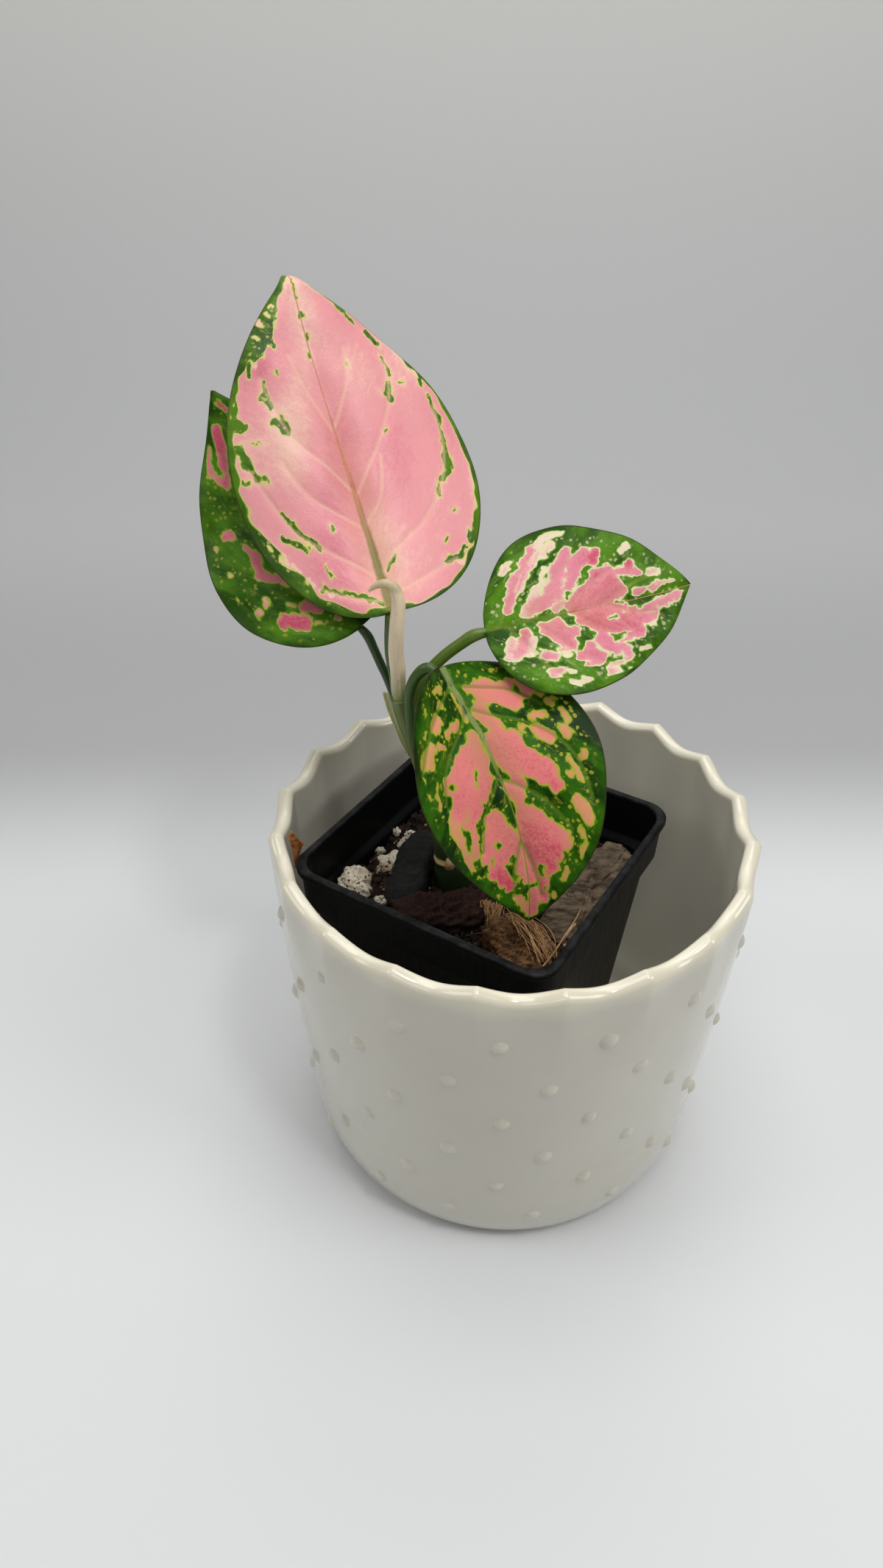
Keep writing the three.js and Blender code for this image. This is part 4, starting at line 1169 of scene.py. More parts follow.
# Each leaf's own values. Its midrib is a cubic curve, faced from face_base to face_tip. Widest is
# a share of its length, taper the power towards its tip, cup, skew and wave its bends across, and
# curl the length of its curled tip. Places on the blade are x across it and y along it.
# Dip is how deep the veins lie, and fold how deep the midrib. Margin gives the green edge's width
# at (side, y). A stroke is (x0, y0, x1, y1, width), and a pink one has a tone after that, from 0,
# pale, to 1, deep. A leaf that is pink all over has its ground's tone and spread, green strokes on
# it, and islands of pale colour in the green.
LEAVES = {
    "leaf_large": {
        "midrib": [(-31, 3.7, 170.5), (-39, 29, 187.3), (-50.5, 43.9, 217), (-55, 54.3, 231.4)],
        "face_base": (0.11, -0.8, 0.59), "face_tip": (0.35, -0.59, 0.73), "width": 61.3, "widest": 0.375,
        "taper": 1.4, "cup": -0.227, "skew": -0.097, "wave": 0.5, "curl": 9.0,
        "petiole": [
            (-28.6, 1.2, 136), (-29.4, 2.6, 141.7), (-30.3, 3.7, 147.4), (-31.1, 4.3, 153.5),
            (-31.8, 4.6, 158.6), (-31.8, 4.6, 163.7), (-31.5, 4.2, 167.8),
        ],
        "petiole_radii": [0.8, 1.7, 1.5, 1.35, 1.3, 1.3, 1.35],
        "veins": [
            [(-1, 9.5), (-6, 13.5), (-12, 18.5), (-17, 24), (-20, 31), (-23, 40)],
            [(-0.8, 30), (-5, 36), (-10, 43), (-12.5, 50), (-14, 60)], [(-0.6, 44), (-4, 54), (-6, 64)],
            [(-1, 21), (-8, 27), (-12, 32), (-15, 40)], [(-1.5, 3), (-8, 5.6), (-15, 10)],
            [(1.5, 10.5), (6, 14.5), (14, 19), (19.5, 24), (23.5, 29), (27, 37), (28, 46)],
            [(1, 29), (5, 33.5), (9, 38), (14, 45), (17, 51), (19, 60)],
            [(0.5, 45), (4, 50), (7, 56), (8.5, 64)], [(1.5, 4), (12, 7.5), (20, 10.5)],
            [(1, 22), (6, 27), (9, 36)],
        ],
        "dip": 0.22, "fold": 1.6, "ground": (0.5, 0.17),
        "margin": [
            (-1, 0.5, 2.0), (-1, 10, 3.6), (-1, 24, 3.4), (-1, 33, 1.6), (-1, 46, 1.8), (-1, 52, 1.0),
            (-1, 62, 1.8), (-1, 68, 3.6), (-1, 78, 2.4), (-1, 88, 1.6), (1, 0.5, 1.6), (1, 10, 1.4),
            (1, 19, 1.8), (1, 30, 1.5), (1, 45, 1.2), (1, 56, 0.9), (1, 63, 0.1), (1, 74, 0.2),
            (1, 79, 1.0), (1, 88, 0.4),
        ],
        "green": [
            (-5.5, 81, -8.5, 71.5, 2.6), (-9, 72, -13, 66, 3.4), (-9.6, 69.2, -8.3, 67.2, 1.8),
            (-14.2, 66, -16.2, 61, 1.2), (-13.6, 58.5, -14, 55, 1.2), (-14.4, 55.2, -13.2, 52.2, 1.6),
            (-13.6, 48.6, -11.8, 46.2, 2.0), (-11.7, 50.2, -11.6, 45.6, 0.9),
            (-10, 60.5, -10, 59.2, 0.8), (-23.8, 52, -21.4, 50, 2.8), (-20.3, 58, -22, 53, 0.9),
            (-23.6, 45.6, -22.8, 41.5, 2.1), (-22.6, 43, -21.8, 37.5, 1.4),
            (-20.6, 38, -19.4, 35.8, 0.8), (-24.8, 38.6, -24.2, 37.2, 0.8),
            (-18.4, 28.4, -15.6, 23, 1.1), (-16, 23.4, -11.8, 18.2, 1.2), (-20, 23.4, -15, 19, 1.2),
            (-12, 14.8, -11.2, 11.6, 0.8), (-14.4, 9.8, -5, 5, 1.0), (-5, 5, -1.4, 2.3, 1.0),
            (-20.2, 46, -18.2, 44.6, 0.7), (9.4, 79.4, 11.4, 75.4, 1.8), (11.4, 75.4, 13.6, 71, 0.9),
            (16.4, 68.2, 18.2, 64, 1.8), (18.3, 60, 18.6, 57.6, 0.7), (18.7, 56.4, 18.7, 54.8, 1.1),
            (17.3, 52.6, 16.4, 48.6, 1.5), (16.8, 50.6, 15.1, 50, 1.0), (25, 58.6, 26.2, 56, 1.3),
            (27.6, 55, 26.8, 52, 2.0), (27.7, 48.8, 28.3, 43, 1.2), (28.3, 43, 27.2, 37, 1.3),
            (27.2, 37, 26, 32, 1.4), (26.2, 33, 25.2, 30, 2.4), (25, 30, 22.6, 28, 1.1),
            (21.2, 26.8, 20.4, 24.8, 1.2), (23.6, 21.3, 22.6, 20.6, 0.7), (19, 15.2, 18, 14.4, 0.7),
            (25.2, 14.4, 28.2, 17.8, 1.8), (16.8, 9.8, 21.6, 11.2, 1.4), (20.4, 10.6, 23.2, 12.8, 1.0),
            (0.1, 86, 0.1, 80, 0.6), (0.3, 75.6, 0.3, 73.6, 1.1), (0.4, 69, 0.5, 67.4, 0.9),
            (-0.5, 64.2, -0.3, 62.4, 0.7), (1.8, 10.4, 4.8, 12.8, 1.1), (8, 59.6, 8, 58.6, 0.6),
            (12.6, 41.4, 12, 40.8, 0.6), (21.6, 52.8, 20.2, 52, 0.6), (-8.2, 22.6, -8, 21.8, 0.6),
        ],
        "islands": [
            (-10.4, 74.8, -9.8, 73, 1.3), (-12.7, 70.7, -11.8, 69.8, 1.2), (-8, 76.6, -7.8, 75.2, 1.0),
            (-14.9, 64.6, -14.3, 63.4, 0.9), (-19.4, 16.8, -18.6, 15.2, 0.8),
            (-21.6, 19.6, -21, 18.2, 0.8), (-17.3, 12.6, -16.2, 11.3, 0.8),
            (-23.7, 23.2, -23.5, 21.8, 0.7), (-13.4, 8.4, -12.4, 7.6, 0.7),
            (-6.6, 78.8, -6.3, 77.8, 0.7), (26.8, 54, 26.5, 55.6, 0.9), (20.2, 9.6, 21.6, 10, 0.6),
        ],
        "rib_width": 1.6, "rib_fade": 58.0,
    },
    "leaf_left": {
        "midrib": [(-39, 7.1, 164.7), (-53.9, 21.8, 175.3), (-66.4, 36.1, 189.1), (-76.2, 46.1, 209.7)],
        "face_base": (0.04, -0.66, 0.75), "face_tip": (-0.49, -0.66, 0.56), "width": 46.9,
        "widest": 0.371, "taper": 1.053, "cup": -0.051, "skew": 0.007, "wave": 0.6,
        "petiole": [
            (-27.6, 3, 134), (-29, 5, 139.5), (-30.9, 6.3, 144.8), (-32.7, 7.2, 149.8),
            (-34.4, 7.5, 154), (-36, 7.6, 158.4), (-37.5, 7.6, 162.2),
        ],
        "petiole_radii": [0.7, 1.5, 1.3, 1.2, 1.15, 1.15, 1.2],
        "veins": mirrored([
            [(-0.5, 10), (-8, 18), (-13, 28), (-16, 36), (-17, 43)],
            [(-0.5, 3), (-9, 7), (-17, 15), (-20, 24)], [(-0.5, 26), (-6, 33), (-10, 42), (-11, 50)],
            [(-0.5, 42), (-4, 50), (-5, 58)],
        ]),
        "dip": 0.25, "fold": 0.4,
        "margin": [(-1, 0, 2.4), (-1, 40, 2.6), (-1, 70, 1.4), (1, 0, 2.4), (1, 40, 2.6), (1, 70, 1.4)],
        "pink": [
            (-3.2, 62.6, -5.8, 55, 3.0, 0.85), (-5.4, 57, -7.6, 50, 2.0, 0.8),
            (-8.4, 60, -10.2, 54.4, 2.2, 0.55), (-9.8, 55, -8.4, 51.4, 1.6, 0.5),
            (0.2, 68, 1.2, 65.6, 1.5, 0.9), (-14.2, 40, -13, 39.4, 2.6, 0.7),
            (-11, 34.2, -10, 30, 2.2, 0.6), (-10.4, 31, -11.6, 26.6, 2.4, 0.75),
            (-12, 26.4, -8, 22.6, 2.2, 0.6), (-8.6, 24, -6.6, 20, 1.8, 0.4),
            (-13.2, 12.8, -10, 9.8, 4.4, 0.85), (-7.2, 13, -4.8, 10.4, 3.0, 0.6),
            (-17.4, 19.6, -17.2, 18.4, 1.5, 0.4), (-14.4, 20.6, -14.4, 19.2, 1.3, 0.3),
            (-18.3, 31.6, -18.2, 31, 1.2, 0.0), (-20, 25.2, -20, 24.6, 0.8, 0.0),
            (-10.2, 16, -9.6, 15, 1.2, 0.4), (-3, 5.8, -2.8, 5.2, 1.3, 0.4),
            (-18.2, 39, -17.8, 38.6, 1.2, 0.4), (-7.4, 7.6, -6.8, 7.4, 0.9, 0.0),
            (-5.6, 6.4, -5.2, 6.2, 0.8, 0.0), (3.4, 61, 6.2, 53, 2.8, 0.8), (7.6, 50, 9.4, 44, 2.6, 0.7),
            (12.6, 41, 13.4, 37, 2.4, 0.6), (5.2, 44, 7.4, 37, 3.4, 0.8), (10.4, 33, 12.4, 27, 3.2, 0.7),
            (4.4, 30, 5.4, 22, 3.2, 0.6), (12.4, 20, 9.4, 14.6, 3.6, 0.8),
            (16.4, 26, 16.8, 22, 1.6, 0.4), (5.4, 14, 4.4, 9.6, 2.8, 0.6),
            (-2.4, 48, -3.6, 40, 2.6, 0.7), (-3.2, 34, -4.6, 26, 2.8, 0.7),
        ],
        "green": [(-7.9, 55.6, -7.7, 53.4, 1.2), (-8.9, 25.6, -8.8, 25, 0.9)],
        "rib_width": 0.7, "rib_fade": 60.0,
    },
    "leaf_right": {
        "midrib": [(-8.7, 5.5, 164.6), (9.2, 4.5, 170.8), (27.7, 10.9, 169), (43.5, 21.5, 169.1)],
        "face_base": (-0.04, -0.58, 0.82), "face_tip": (0.23, -0.87, 0.43), "width": 42.3,
        "widest": 0.324, "taper": 0.85, "cup": -0.02, "skew": 0.035, "wave": 0.5,
        "petiole": [
            (-24, 2.6, 131), (-25, 4.2, 137), (-25.8, 4.9, 143), (-24.8, 5.2, 149.5), (-22, 5.2, 153.8),
            (-18.3, 5.2, 157.9), (-14.2, 5.3, 161.3), (-11.1, 5.4, 163.4),
        ],
        "petiole_radii": [0.8, 1.7, 1.6, 1.55, 1.5, 1.5, 1.5, 1.55],
        "veins": [
            [(-0.5, 4), (-8, 8), (-15, 14)], [(-0.5, 11), (-7, 17), (-13, 25)],
            [(-0.5, 20), (-5, 27), (-9, 35)], [(-0.5, 31), (-3.5, 38), (-5.5, 46)],
            [(0.5, 6), (6, 9), (12, 13), (17, 18)], [(0.5, 12), (6, 17), (12, 24), (15, 31)],
            [(0.5, 22), (5, 28), (9, 36)], [(0.5, 32), (3, 39), (5, 46)],
        ],
        "dip": 0.2, "fold": 0.4,
        "margin": [
            (-1, 0, 2.2), (-1, 20, 0.6), (-1, 30, 1.6), (-1, 56, 1.0), (1, 0, 2.0), (1, 20, 1.6),
            (1, 56, 1.0),
        ],
        "pink": [
            (-0.9, 22, -0.7, 31, 2.6, 0.7), (0.9, 24, 1.1, 36, 2.4, 0.7),
            (-1.6, 23, -5.6, 33.6, 4.4, 0.7), (-4, 26, -3, 35.4, 4.2, 0.7),
            (-7.4, 28.4, -8, 33, 2.8, 0.7), (-2, 30, -1.6, 34, 3.0, 0.7),
            (1.6, 24.6, 5.4, 38, 4.6, 0.75), (3.2, 38, 7.8, 38.4, 3.6, 0.7), (8.4, 37, 9, 33, 1.8, 0.6),
            (6, 34, 3.4, 26, 4.2, 0.75), (5, 43.6, 4.8, 37, 2.6, 0.65), (1.6, 51, 2.4, 44, 2.8, 0.45),
            (1.1, 48, 0.9, 52.6, 1.5, 0.6), (-2.4, 46.4, -1.8, 44, 2.0, 0.45),
            (-1.9, 42, -1.6, 39.6, 1.7, 0.7), (-2.4, 50.8, -2.6, 47.4, 1.1, 0.4),
            (-5.5, 47, -5.6, 44.2, 1.9, 0.25), (-6.3, 41.6, -7.6, 35.6, 2.2, 0.55),
            (-9, 39.8, -8.2, 38.8, 2.2, 0.95), (-8.2, 33.4, -8.2, 31, 2.4, 0.7),
            (-12.8, 31, -11.4, 30, 3.2, 0.95), (-13, 28.6, -10.4, 23.4, 4.0, 0.65),
            (-14.4, 24, -11, 20, 2.8, 0.55), (-9, 25, -6, 22.4, 3.0, 0.55),
            (-9.6, 21, -4, 16.4, 3.6, 0.5), (-5.4, 19.4, -2.4, 12.4, 4.0, 0.5),
            (-16.2, 17.4, -12, 13.4, 1.5, 0.3), (-8.6, 16.6, -6, 13, 1.2, 0.2),
            (-3.2, 21, -1.2, 18, 1.8, 0.4), (-5.6, 14, -2, 10.6, 2.6, 0.25),
            (-17.6, 15.8, -12.6, 11.4, 2.6, 0.55), (-13, 13.6, -8.6, 10.4, 2.4, 0.4),
            (-11.2, 9.8, -4, 6.6, 2.8, 0.55), (-15.4, 9.2, -13.4, 7, 1.9, 0.25),
            (-19.6, 20.4, -18.2, 17.6, 2.0, 0.1), (-17, 20.6, -15, 18.2, 1.9, 0.3),
            (-19.4, 24, -20, 19.4, 1.1, 0.05), (-13, 39.6, -12.2, 38, 1.7, 0.05),
            (-11.6, 17.4, -10, 16.4, 1.2, 0.1), (2.8, 17.4, 7.6, 19.4, 4.2, 0.65),
            (3.4, 14.6, 5.4, 17, 3.2, 0.6), (5, 21.4, 6, 18.6, 3.0, 0.6), (2, 13.6, 2.6, 16.4, 1.8, 0.5),
            (7.8, 27.8, 11, 30.2, 3.8, 0.65), (9.6, 24.4, 12.2, 26.4, 3.0, 0.65),
            (11, 21.2, 12, 25.4, 2.6, 0.65), (13.4, 22.4, 13.2, 25.6, 1.5, 0.55),
            (10.4, 31.2, 11.8, 34, 2.6, 0.55), (12, 33.8, 13.8, 33.4, 2.2, 0.4),
            (14.4, 31.6, 14.8, 28.6, 1.3, 0.35), (16.3, 29.8, 16.1, 28, 1.9, 0.4),
            (9.4, 12.8, 10.4, 15.2, 2.6, 0.5), (14, 16, 14.2, 13.6, 2.3, 0.45),
            (2.8, 9.6, 5.4, 8.6, 2.8, 0.75), (5.2, 11, 8.4, 9.8, 2.2, 0.15),
            (6.4, 8.4, 8, 6.4, 3.6, 0.4), (4.2, 6, 8, 4.4, 2.0, 0.35), (12.3, 40.2, 12, 37.4, 1.1, 0.3),
            (17, 22.6, 16.8, 20.6, 1.4, 0.25), (16.6, 34.4, 16.6, 33, 1.0, 0.0),
            (18, 19.6, 17, 17.8, 1.4, 0.05), (6.8, 43, 6.9, 42, 0.9, 0.0),
            (9.2, 17.8, 8.8, 16.4, 1.0, 0.4), (3.2, 40, 2.4, 42.6, 1.6, 0.6),
            (14.8, 19, 14.6, 17.4, 1.2, 0.05), (10.6, 18.6, 10.8, 17.6, 0.9, 0.05),
        ],
        "green": [
            (3.2, 32.8, 3.3, 30.8, 0.9), (5.2, 24.2, 8.2, 22.4, 1.9), (7.8, 34.2, 8.4, 31.2, 1.2),
            (-4.6, 21.8, -3, 21.2, 1.0), (-10.4, 23.1, -10.1, 22.8, 0.7), (-9.4, 28.4, -7.4, 27.2, 1.1),
            (1.9, 21.6, 2.3, 20.2, 1.4), (12.9, 29.2, 13, 28.4, 1.3), (0.2, 35.4, -0.3, 33.8, 0.7),
        ],
        "rib_width": 1.0, "rib_fade": 30.0,
    },
    "leaf_front": {
        "midrib": [(-19.5, -6.5, 161.4), (-6.5, -19.6, 147.7), (3.2, -33.8, 129), (2.2, -34.1, 105.8)],
        "face_base": (-0.08, 0.33, 0.94), "face_tip": (0.18, -0.88, 0.45), "width": 49, "widest": 0.34,
        "taper": 0.943, "cup": 0.176, "skew": 0.062, "wave": 0.4,
        "petiole": [
            (-23, -2.4, 127), (-24.7, -3.4, 133.5), (-26.2, -3.5, 140), (-26.9, -3.9, 147),
            (-26.8, -4.4, 153.2), (-25.2, -5, 158), (-22.4, -5.8, 160.7),
        ],
        "petiole_radii": [0.7, 1.6, 1.45, 1.35, 1.35, 1.35, 1.4],
        "veins": [
            [(-0.5, 11), (-6, 15.5), (-12, 20), (-17, 26), (-19.3, 33), (-19, 41)],
            [(-0.5, 30), (-4, 33), (-9, 39), (-12.5, 46)], [(-0.5, 5), (-7, 8), (-14, 12), (-18.5, 18)],
            [(-0.4, 47), (-2, 55), (-3, 61)], [(0.5, 12), (5, 15.5), (11, 20), (14, 24), (16, 30)],
            [(0.5, 29), (4, 33), (8, 38), (10, 45)], [(0.8, 5), (8, 9), (15, 14), (20, 21)],
            [(0.4, 46), (3, 53), (4, 60)],
        ],
        "dip": 0.4, "fold": 0.5,
        "margin": [
            (-1, 0, 3.4), (-1, 20, 3.2), (-1, 34, 2.8), (-1, 50, 1.6), (-1, 68, 0.6), (1, 0, 3.2),
            (1, 20, 2.6), (1, 44, 3.0), (1, 58, 1.4), (1, 68, 0.6),
        ],
        "pink": [
            (-1.6, 60, -0.4, 66, 2.8, 0.6), (-3.6, 56.8, -3.2, 62, 2.4, 0.75),
            (-7.6, 50, -2.6, 43, 5.4, 0.75), (-8.6, 46.6, -3.4, 39.6, 4.2, 0.55),
            (-5.6, 53.6, -1.6, 47.4, 4.6, 0.8), (-10.6, 49.4, -10.8, 47, 2.0, 0.3),
            (-3.2, 37.6, -1.4, 32.6, 3.6, 0.55), (-1.8, 39, -1.2, 56, 3.0, 0.7),
            (-12.2, 36, -9, 31.6, 3.4, 0.7), (-10.8, 32, -3.4, 24.6, 6.0, 0.6),
            (-8, 28.4, -2.6, 21.4, 6.0, 0.6), (-4, 33, -1.8, 23, 3.0, 0.6),
            (-4.6, 17.4, -3, 13.4, 4.6, 0.35), (-7.4, 22.6, -4.4, 19.6, 3.8, 0.5),
            (-15.4, 25.4, -13.4, 23.2, 3.4, 0.4), (-12.2, 23.4, -10.6, 21, 1.8, 0.4),
            (-19.6, 26.4, -19.4, 25, 2.4, 0.25), (-21.2, 24, -21.6, 21.4, 1.4, 0.1),
            (-17, 20.4, -14.4, 19.6, 1.8, 0.25), (-20, 18.2, -20.6, 18.6, 1.8, 0.05),
            (-20.2, 16, -19.4, 15.8, 1.4, 0.1), (-17, 13, -6.4, 10.2, 5.6, 0.4),
            (-12.4, 15, -8, 8.4, 4.6, 0.45), (-6.4, 8, -4, 7.4, 2.6, 0.3),
            (-17, 45, -15.4, 40.4, 3.0, 0.2), (-18.2, 36.8, -17, 31, 1.4, 0.1),
            (-16.2, 34.6, -16, 34.2, 1.6, 0.3), (-20.6, 32, -21, 31.4, 1.8, 0.0),
            (-13.4, 52, -14, 50, 1.0, 0.0), (1.4, 64, 3, 60.6, 2.2, 0.3),
            (4.8, 56.4, 7.8, 51.4, 3.8, 0.9), (8.2, 51, 6.2, 43.4, 4.4, 0.65),
            (3.4, 48, 5, 38.6, 5.6, 0.6), (1.4, 56, 1.8, 43, 2.6, 0.65), (9.6, 47, 7.4, 40.6, 3.0, 0.5),
            (12.4, 45, 10.8, 37, 2.2, 0.4), (14.2, 48, 14.8, 43.6, 2.4, 0.25),
            (15.6, 42.6, 15.6, 34, 2.8, 0.12), (11.4, 36.6, 3.6, 28.4, 3.8, 0.6),
            (9.2, 30, 4.4, 24.2, 6.8, 0.55), (13.8, 33, 10.4, 26.4, 4.6, 0.6),
            (12.8, 26, 5.4, 20.6, 4.6, 0.5), (3, 24, 2.6, 17.8, 3.6, 0.35),
            (14.6, 24.4, 15, 27, 1.4, 0.4), (9.4, 15.4, 5, 13.6, 2.2, 0.4),
            (12.4, 12.8, 10.2, 11, 2.8, 0.3), (13.2, 16.6, 12, 17.4, 1.6, 0.35),
            (17.6, 20, 15.8, 16.4, 2.4, 0.15), (19.6, 19.4, 18, 17, 1.6, 0.1),
            (1.6, 14, 1.8, 7, 1.4, 0.1), (5, 4.8, 7.6, 5.2, 1.4, 0.0), (1.2, 2.4, 3, 2.8, 1.2, 0.0),
            (18, 30, 17.8, 27, 1.5, 0.05), (17.4, 25.4, 17.2, 24, 1.1, 0.0),
            (20.2, 27, 20.2, 25.4, 1.0, 0.0), (20.4, 22.6, 20.4, 21.8, 0.9, 0.0),
            (14, 8, 14.4, 9, 1.0, 0.0), (12, 54, 12.6, 51.6, 1.6, 0.2), (8.6, 59.4, 8, 57.8, 1.0, 0.05),
            (17, 13.6, 16, 12.6, 0.9, 0.0), (-17, 6.4, -16.6, 6, 0.9, 0.0),
            (-13, 6.2, -12.4, 5.8, 0.9, 0.0), (7, 8, 7.8, 8.6, 1.4, 0.05),
            (-14.8, 49, -14.2, 46, 0.8, 0.0), (-8.4, 57, -9.6, 55, 1.6, 0.2),
            (-6, 60.4, -6.2, 61.6, 1.2, 0.1),
        ],
        "green": [
            (-8.6, 18.8, -7.6, 14.4, 2.2), (-11.6, 23.8, -11.2, 22, 1.5), (-15, 13.2, -15, 12.4, 1.5),
            (-8.6, 38.8, -7.4, 37.2, 1.8), (-4.8, 37.4, -4.2, 36.6, 1.2), (5.4, 35, 6.6, 33.6, 1.1),
            (7.6, 15.6, 8.4, 16.4, 1.4), (2, 59.6, 2, 56, 1.1), (3, 51, 3, 49, 1.1),
            (6.1, 45, 6.3, 44, 0.9), (-3.6, 55.2, -3.6, 53.4, 1.1), (-9.6, 52.2, -9.5, 51, 1.2),
            (10, 39.4, 9.8, 38, 1.2), (7.2, 29, 5.8, 25.6, 0.7), (10.6, 44.6, 10.6, 41.6, 0.8),
            (1.8, 39.4, 1.2, 34, 0.8), (13, 27, 13.2, 26, 1.0), (8.2, 48.6, 8.2, 47.6, 0.7),
        ],
        "rib_width": 1.5, "rib_fade": 42.0,
    },
}


FIELD_WANDER = 0.2


def leaf_fields(leaf, x, y, half):
    """The blade's maps: depth in the pink, tone, distance to the margin, veins and midrib.

    Each place wanders by seeded ripples before its distance to the strokes is taken, so that the
    patches' edges waver. The deepest of the pink, less the green and the margin, is kept.
    """
    at = np.stack([x, y], axis=-1)
    drawn = at * np.array([1.3, 0.7])
    wx = x + FIELD_WANDER * ripples(drawn, 3.5, 401) + 0.5 * FIELD_WANDER * ripples(at, 1.5, 402)
    wy = y + FIELD_WANDER * ripples(drawn, 3.5, 403) + 0.5 * FIELD_WANDER * ripples(at, 1.5, 404)
    margin = np.minimum(half - np.abs(x), 1.1 * y + 0.02 * x * x)
    sides = np.array([m[0] for m in leaf["margin"]])
    marks = np.array([m[1:] for m in leaf["margin"]])
    left, right = marks[sides < 0], marks[sides > 0]
    band = np.where(x < 0, np.interp(y, left[:, 0], left[:, 1]), np.interp(y, right[:, 0], right[:, 1]))
    band = band * (1 + 0.18 * ripples(at, 6.5, 405))
    green = np.full(x.shape, -9.0)
    if leaf["green"]:
        green, _ = patch_distance([stroke + (0.0,) for stroke in leaf["green"]], wx, wy)
    if "ground" in leaf:
        middle, spread = leaf["ground"]
        patch = -green
        tone = middle + spread * ripples(at * np.array([1.0, 0.35]), 18, 406)
    else:
        patch, tone = patch_distance(leaf["pink"], wx, wy)
        patch = np.minimum(patch, -green)
    patch = np.minimum(patch, margin - band)
    if "islands" in leaf:
        spots, _ = patch_distance([stroke + (0.0,) for stroke in leaf["islands"]], wx, wy)
        patch = np.maximum(patch, spots)
        tone = np.where(spots > -0.3, 0.0, tone)
    vein = np.full(x.shape, 99.0)
    for line in leaf["veins"]:
        vein = np.minimum(vein, distance_to_line(x, y, smooth_path(line, 14)))
    rib = np.abs(x) / (leaf["rib_width"] * np.clip(1 - y / leaf["rib_fade"], 0.12, 1))
    return np.clip(patch, -6, 6), tone, margin, vein, rib


EDGE_CROWDING = 0.92
VEIN_GROOVE = 0.8
VEIN_QUILT = 3.5
TROUGH_DEPTH = 0.3
TROUGH_REACH = 1.3
KEEL_DEPTH = 0.35


def there_and_back(field, under=None):
    """A field over the top's rows and back over the underside's, then at the two hubs."""
    under = field if under is None else under
    flat = np.concatenate([field, under[:, -2:0:-1]], axis=1).ravel()
    return np.r_[flat, flat[0], flat[-1]]


def leaf_shape(leaf, across, along):
    """The blade as a flat closed tube: top from left to right, then underside back again.

    The top sinks in bells along the veins and the midrib and swells between them. The underside
    follows it, with a keel under the midrib. The thickness falls to the margin by a tenth power.
    """
    u = np.sin(np.linspace(-np.pi / 2, np.pi / 2, across + 1) * EDGE_CROWDING)
    u = u / math.sin(np.pi / 2 * EDGE_CROWDING)
    v = 0.5 - 0.5 * np.cos(np.pi * (np.arange(along + 1) + 0.15) / (along + 0.3))
    uu, vv = np.meshgrid(u, v)
    place, _, x, y, half = blade_places(leaf, uu, vv)
    normal = np.cross(np.gradient(place, axis=1), np.gradient(place, axis=0))
    normal /= np.linalg.norm(normal, axis=-1, keepdims=True)
    patch, tone, margin, vein, rib = leaf_fields(leaf, x, y, half)
    at = np.stack([x, y], axis=-1)
    fade = smooth(margin / 3)
    groove = -leaf["dip"] * np.exp(-(vein / VEIN_GROOVE) ** 2) * fade
    quilt = leaf["dip"] * (0.5 - np.exp(-(vein / VEIN_QUILT) ** 2)) * fade
    relief = groove + (quilt + 0.12 * ripples(at, 14, 411) * fade)
    trough = -TROUGH_DEPTH * np.exp(-(x / TROUGH_REACH) ** 2) * fade
    edge = np.sqrt(np.clip(1 - np.abs(uu) ** 10, 0.015, 1))
    ends = np.sqrt(np.clip(smooth(vv / 0.01) * smooth((1 - vv) / 0.008), 0.05, 1))
    thick = BLADE_THICKNESS / 2 * edge * ends
    top = place + normal * (thick + relief + trough)[..., None]
    keel = KEEL_DEPTH * np.exp(-x ** 2) * (1 - vv)
    under = place - normal * (thick - relief * 0.8 + keel * fade)[..., None]
    grid = np.concatenate([top, under[:, -2:0:-1]], axis=1)
    zero, one = np.zeros_like(x), np.ones_like(x)
    maps = {"blade": (x, y, margin), "pattern": (patch, tone, vein), "skin": (rib, zero, zero)}
    fields = {key: np.stack([there_and_back(field) for field in three], axis=-1)
              for key, three in maps.items()}
    fields["skin"][:, 1] = there_and_back(zero, one)
    return closed_tube(grid), fields


def petiole_path(leaf):
    """The stalk's points, run on under the blade, where it sinks in as the raised midrib."""
    points, radii = list(leaf["petiole"]), list(leaf["petiole_radii"])
    for v in (0.03, 0.08, 0.14, 0.22, 0.31, 0.42, 0.54, 0.68):
        place, face, _, _, _ = blade_places(leaf, np.zeros(1), np.array([v]))
        radius = radii[len(leaf["petiole"]) - 1] * (1 - v) * 0.7
        points.append(tuple((place[0] - (radius + 0.3) * face[0]).tolist()))
        radii.append(radius)
    return points, radii


BLADE_MAPS = ("Blade", "Pattern", "Skin")
BLADE_COLOURS = ("Dark Green", "Light Green", "Halo", "Pale", "Pink", "Deep", "Rib", "Far Rib",
                 "Vein Colour")
BLADE_AMOUNTS = ("Vein Strength", "Halo Width", "Grain", "Speckle", "Ragged")


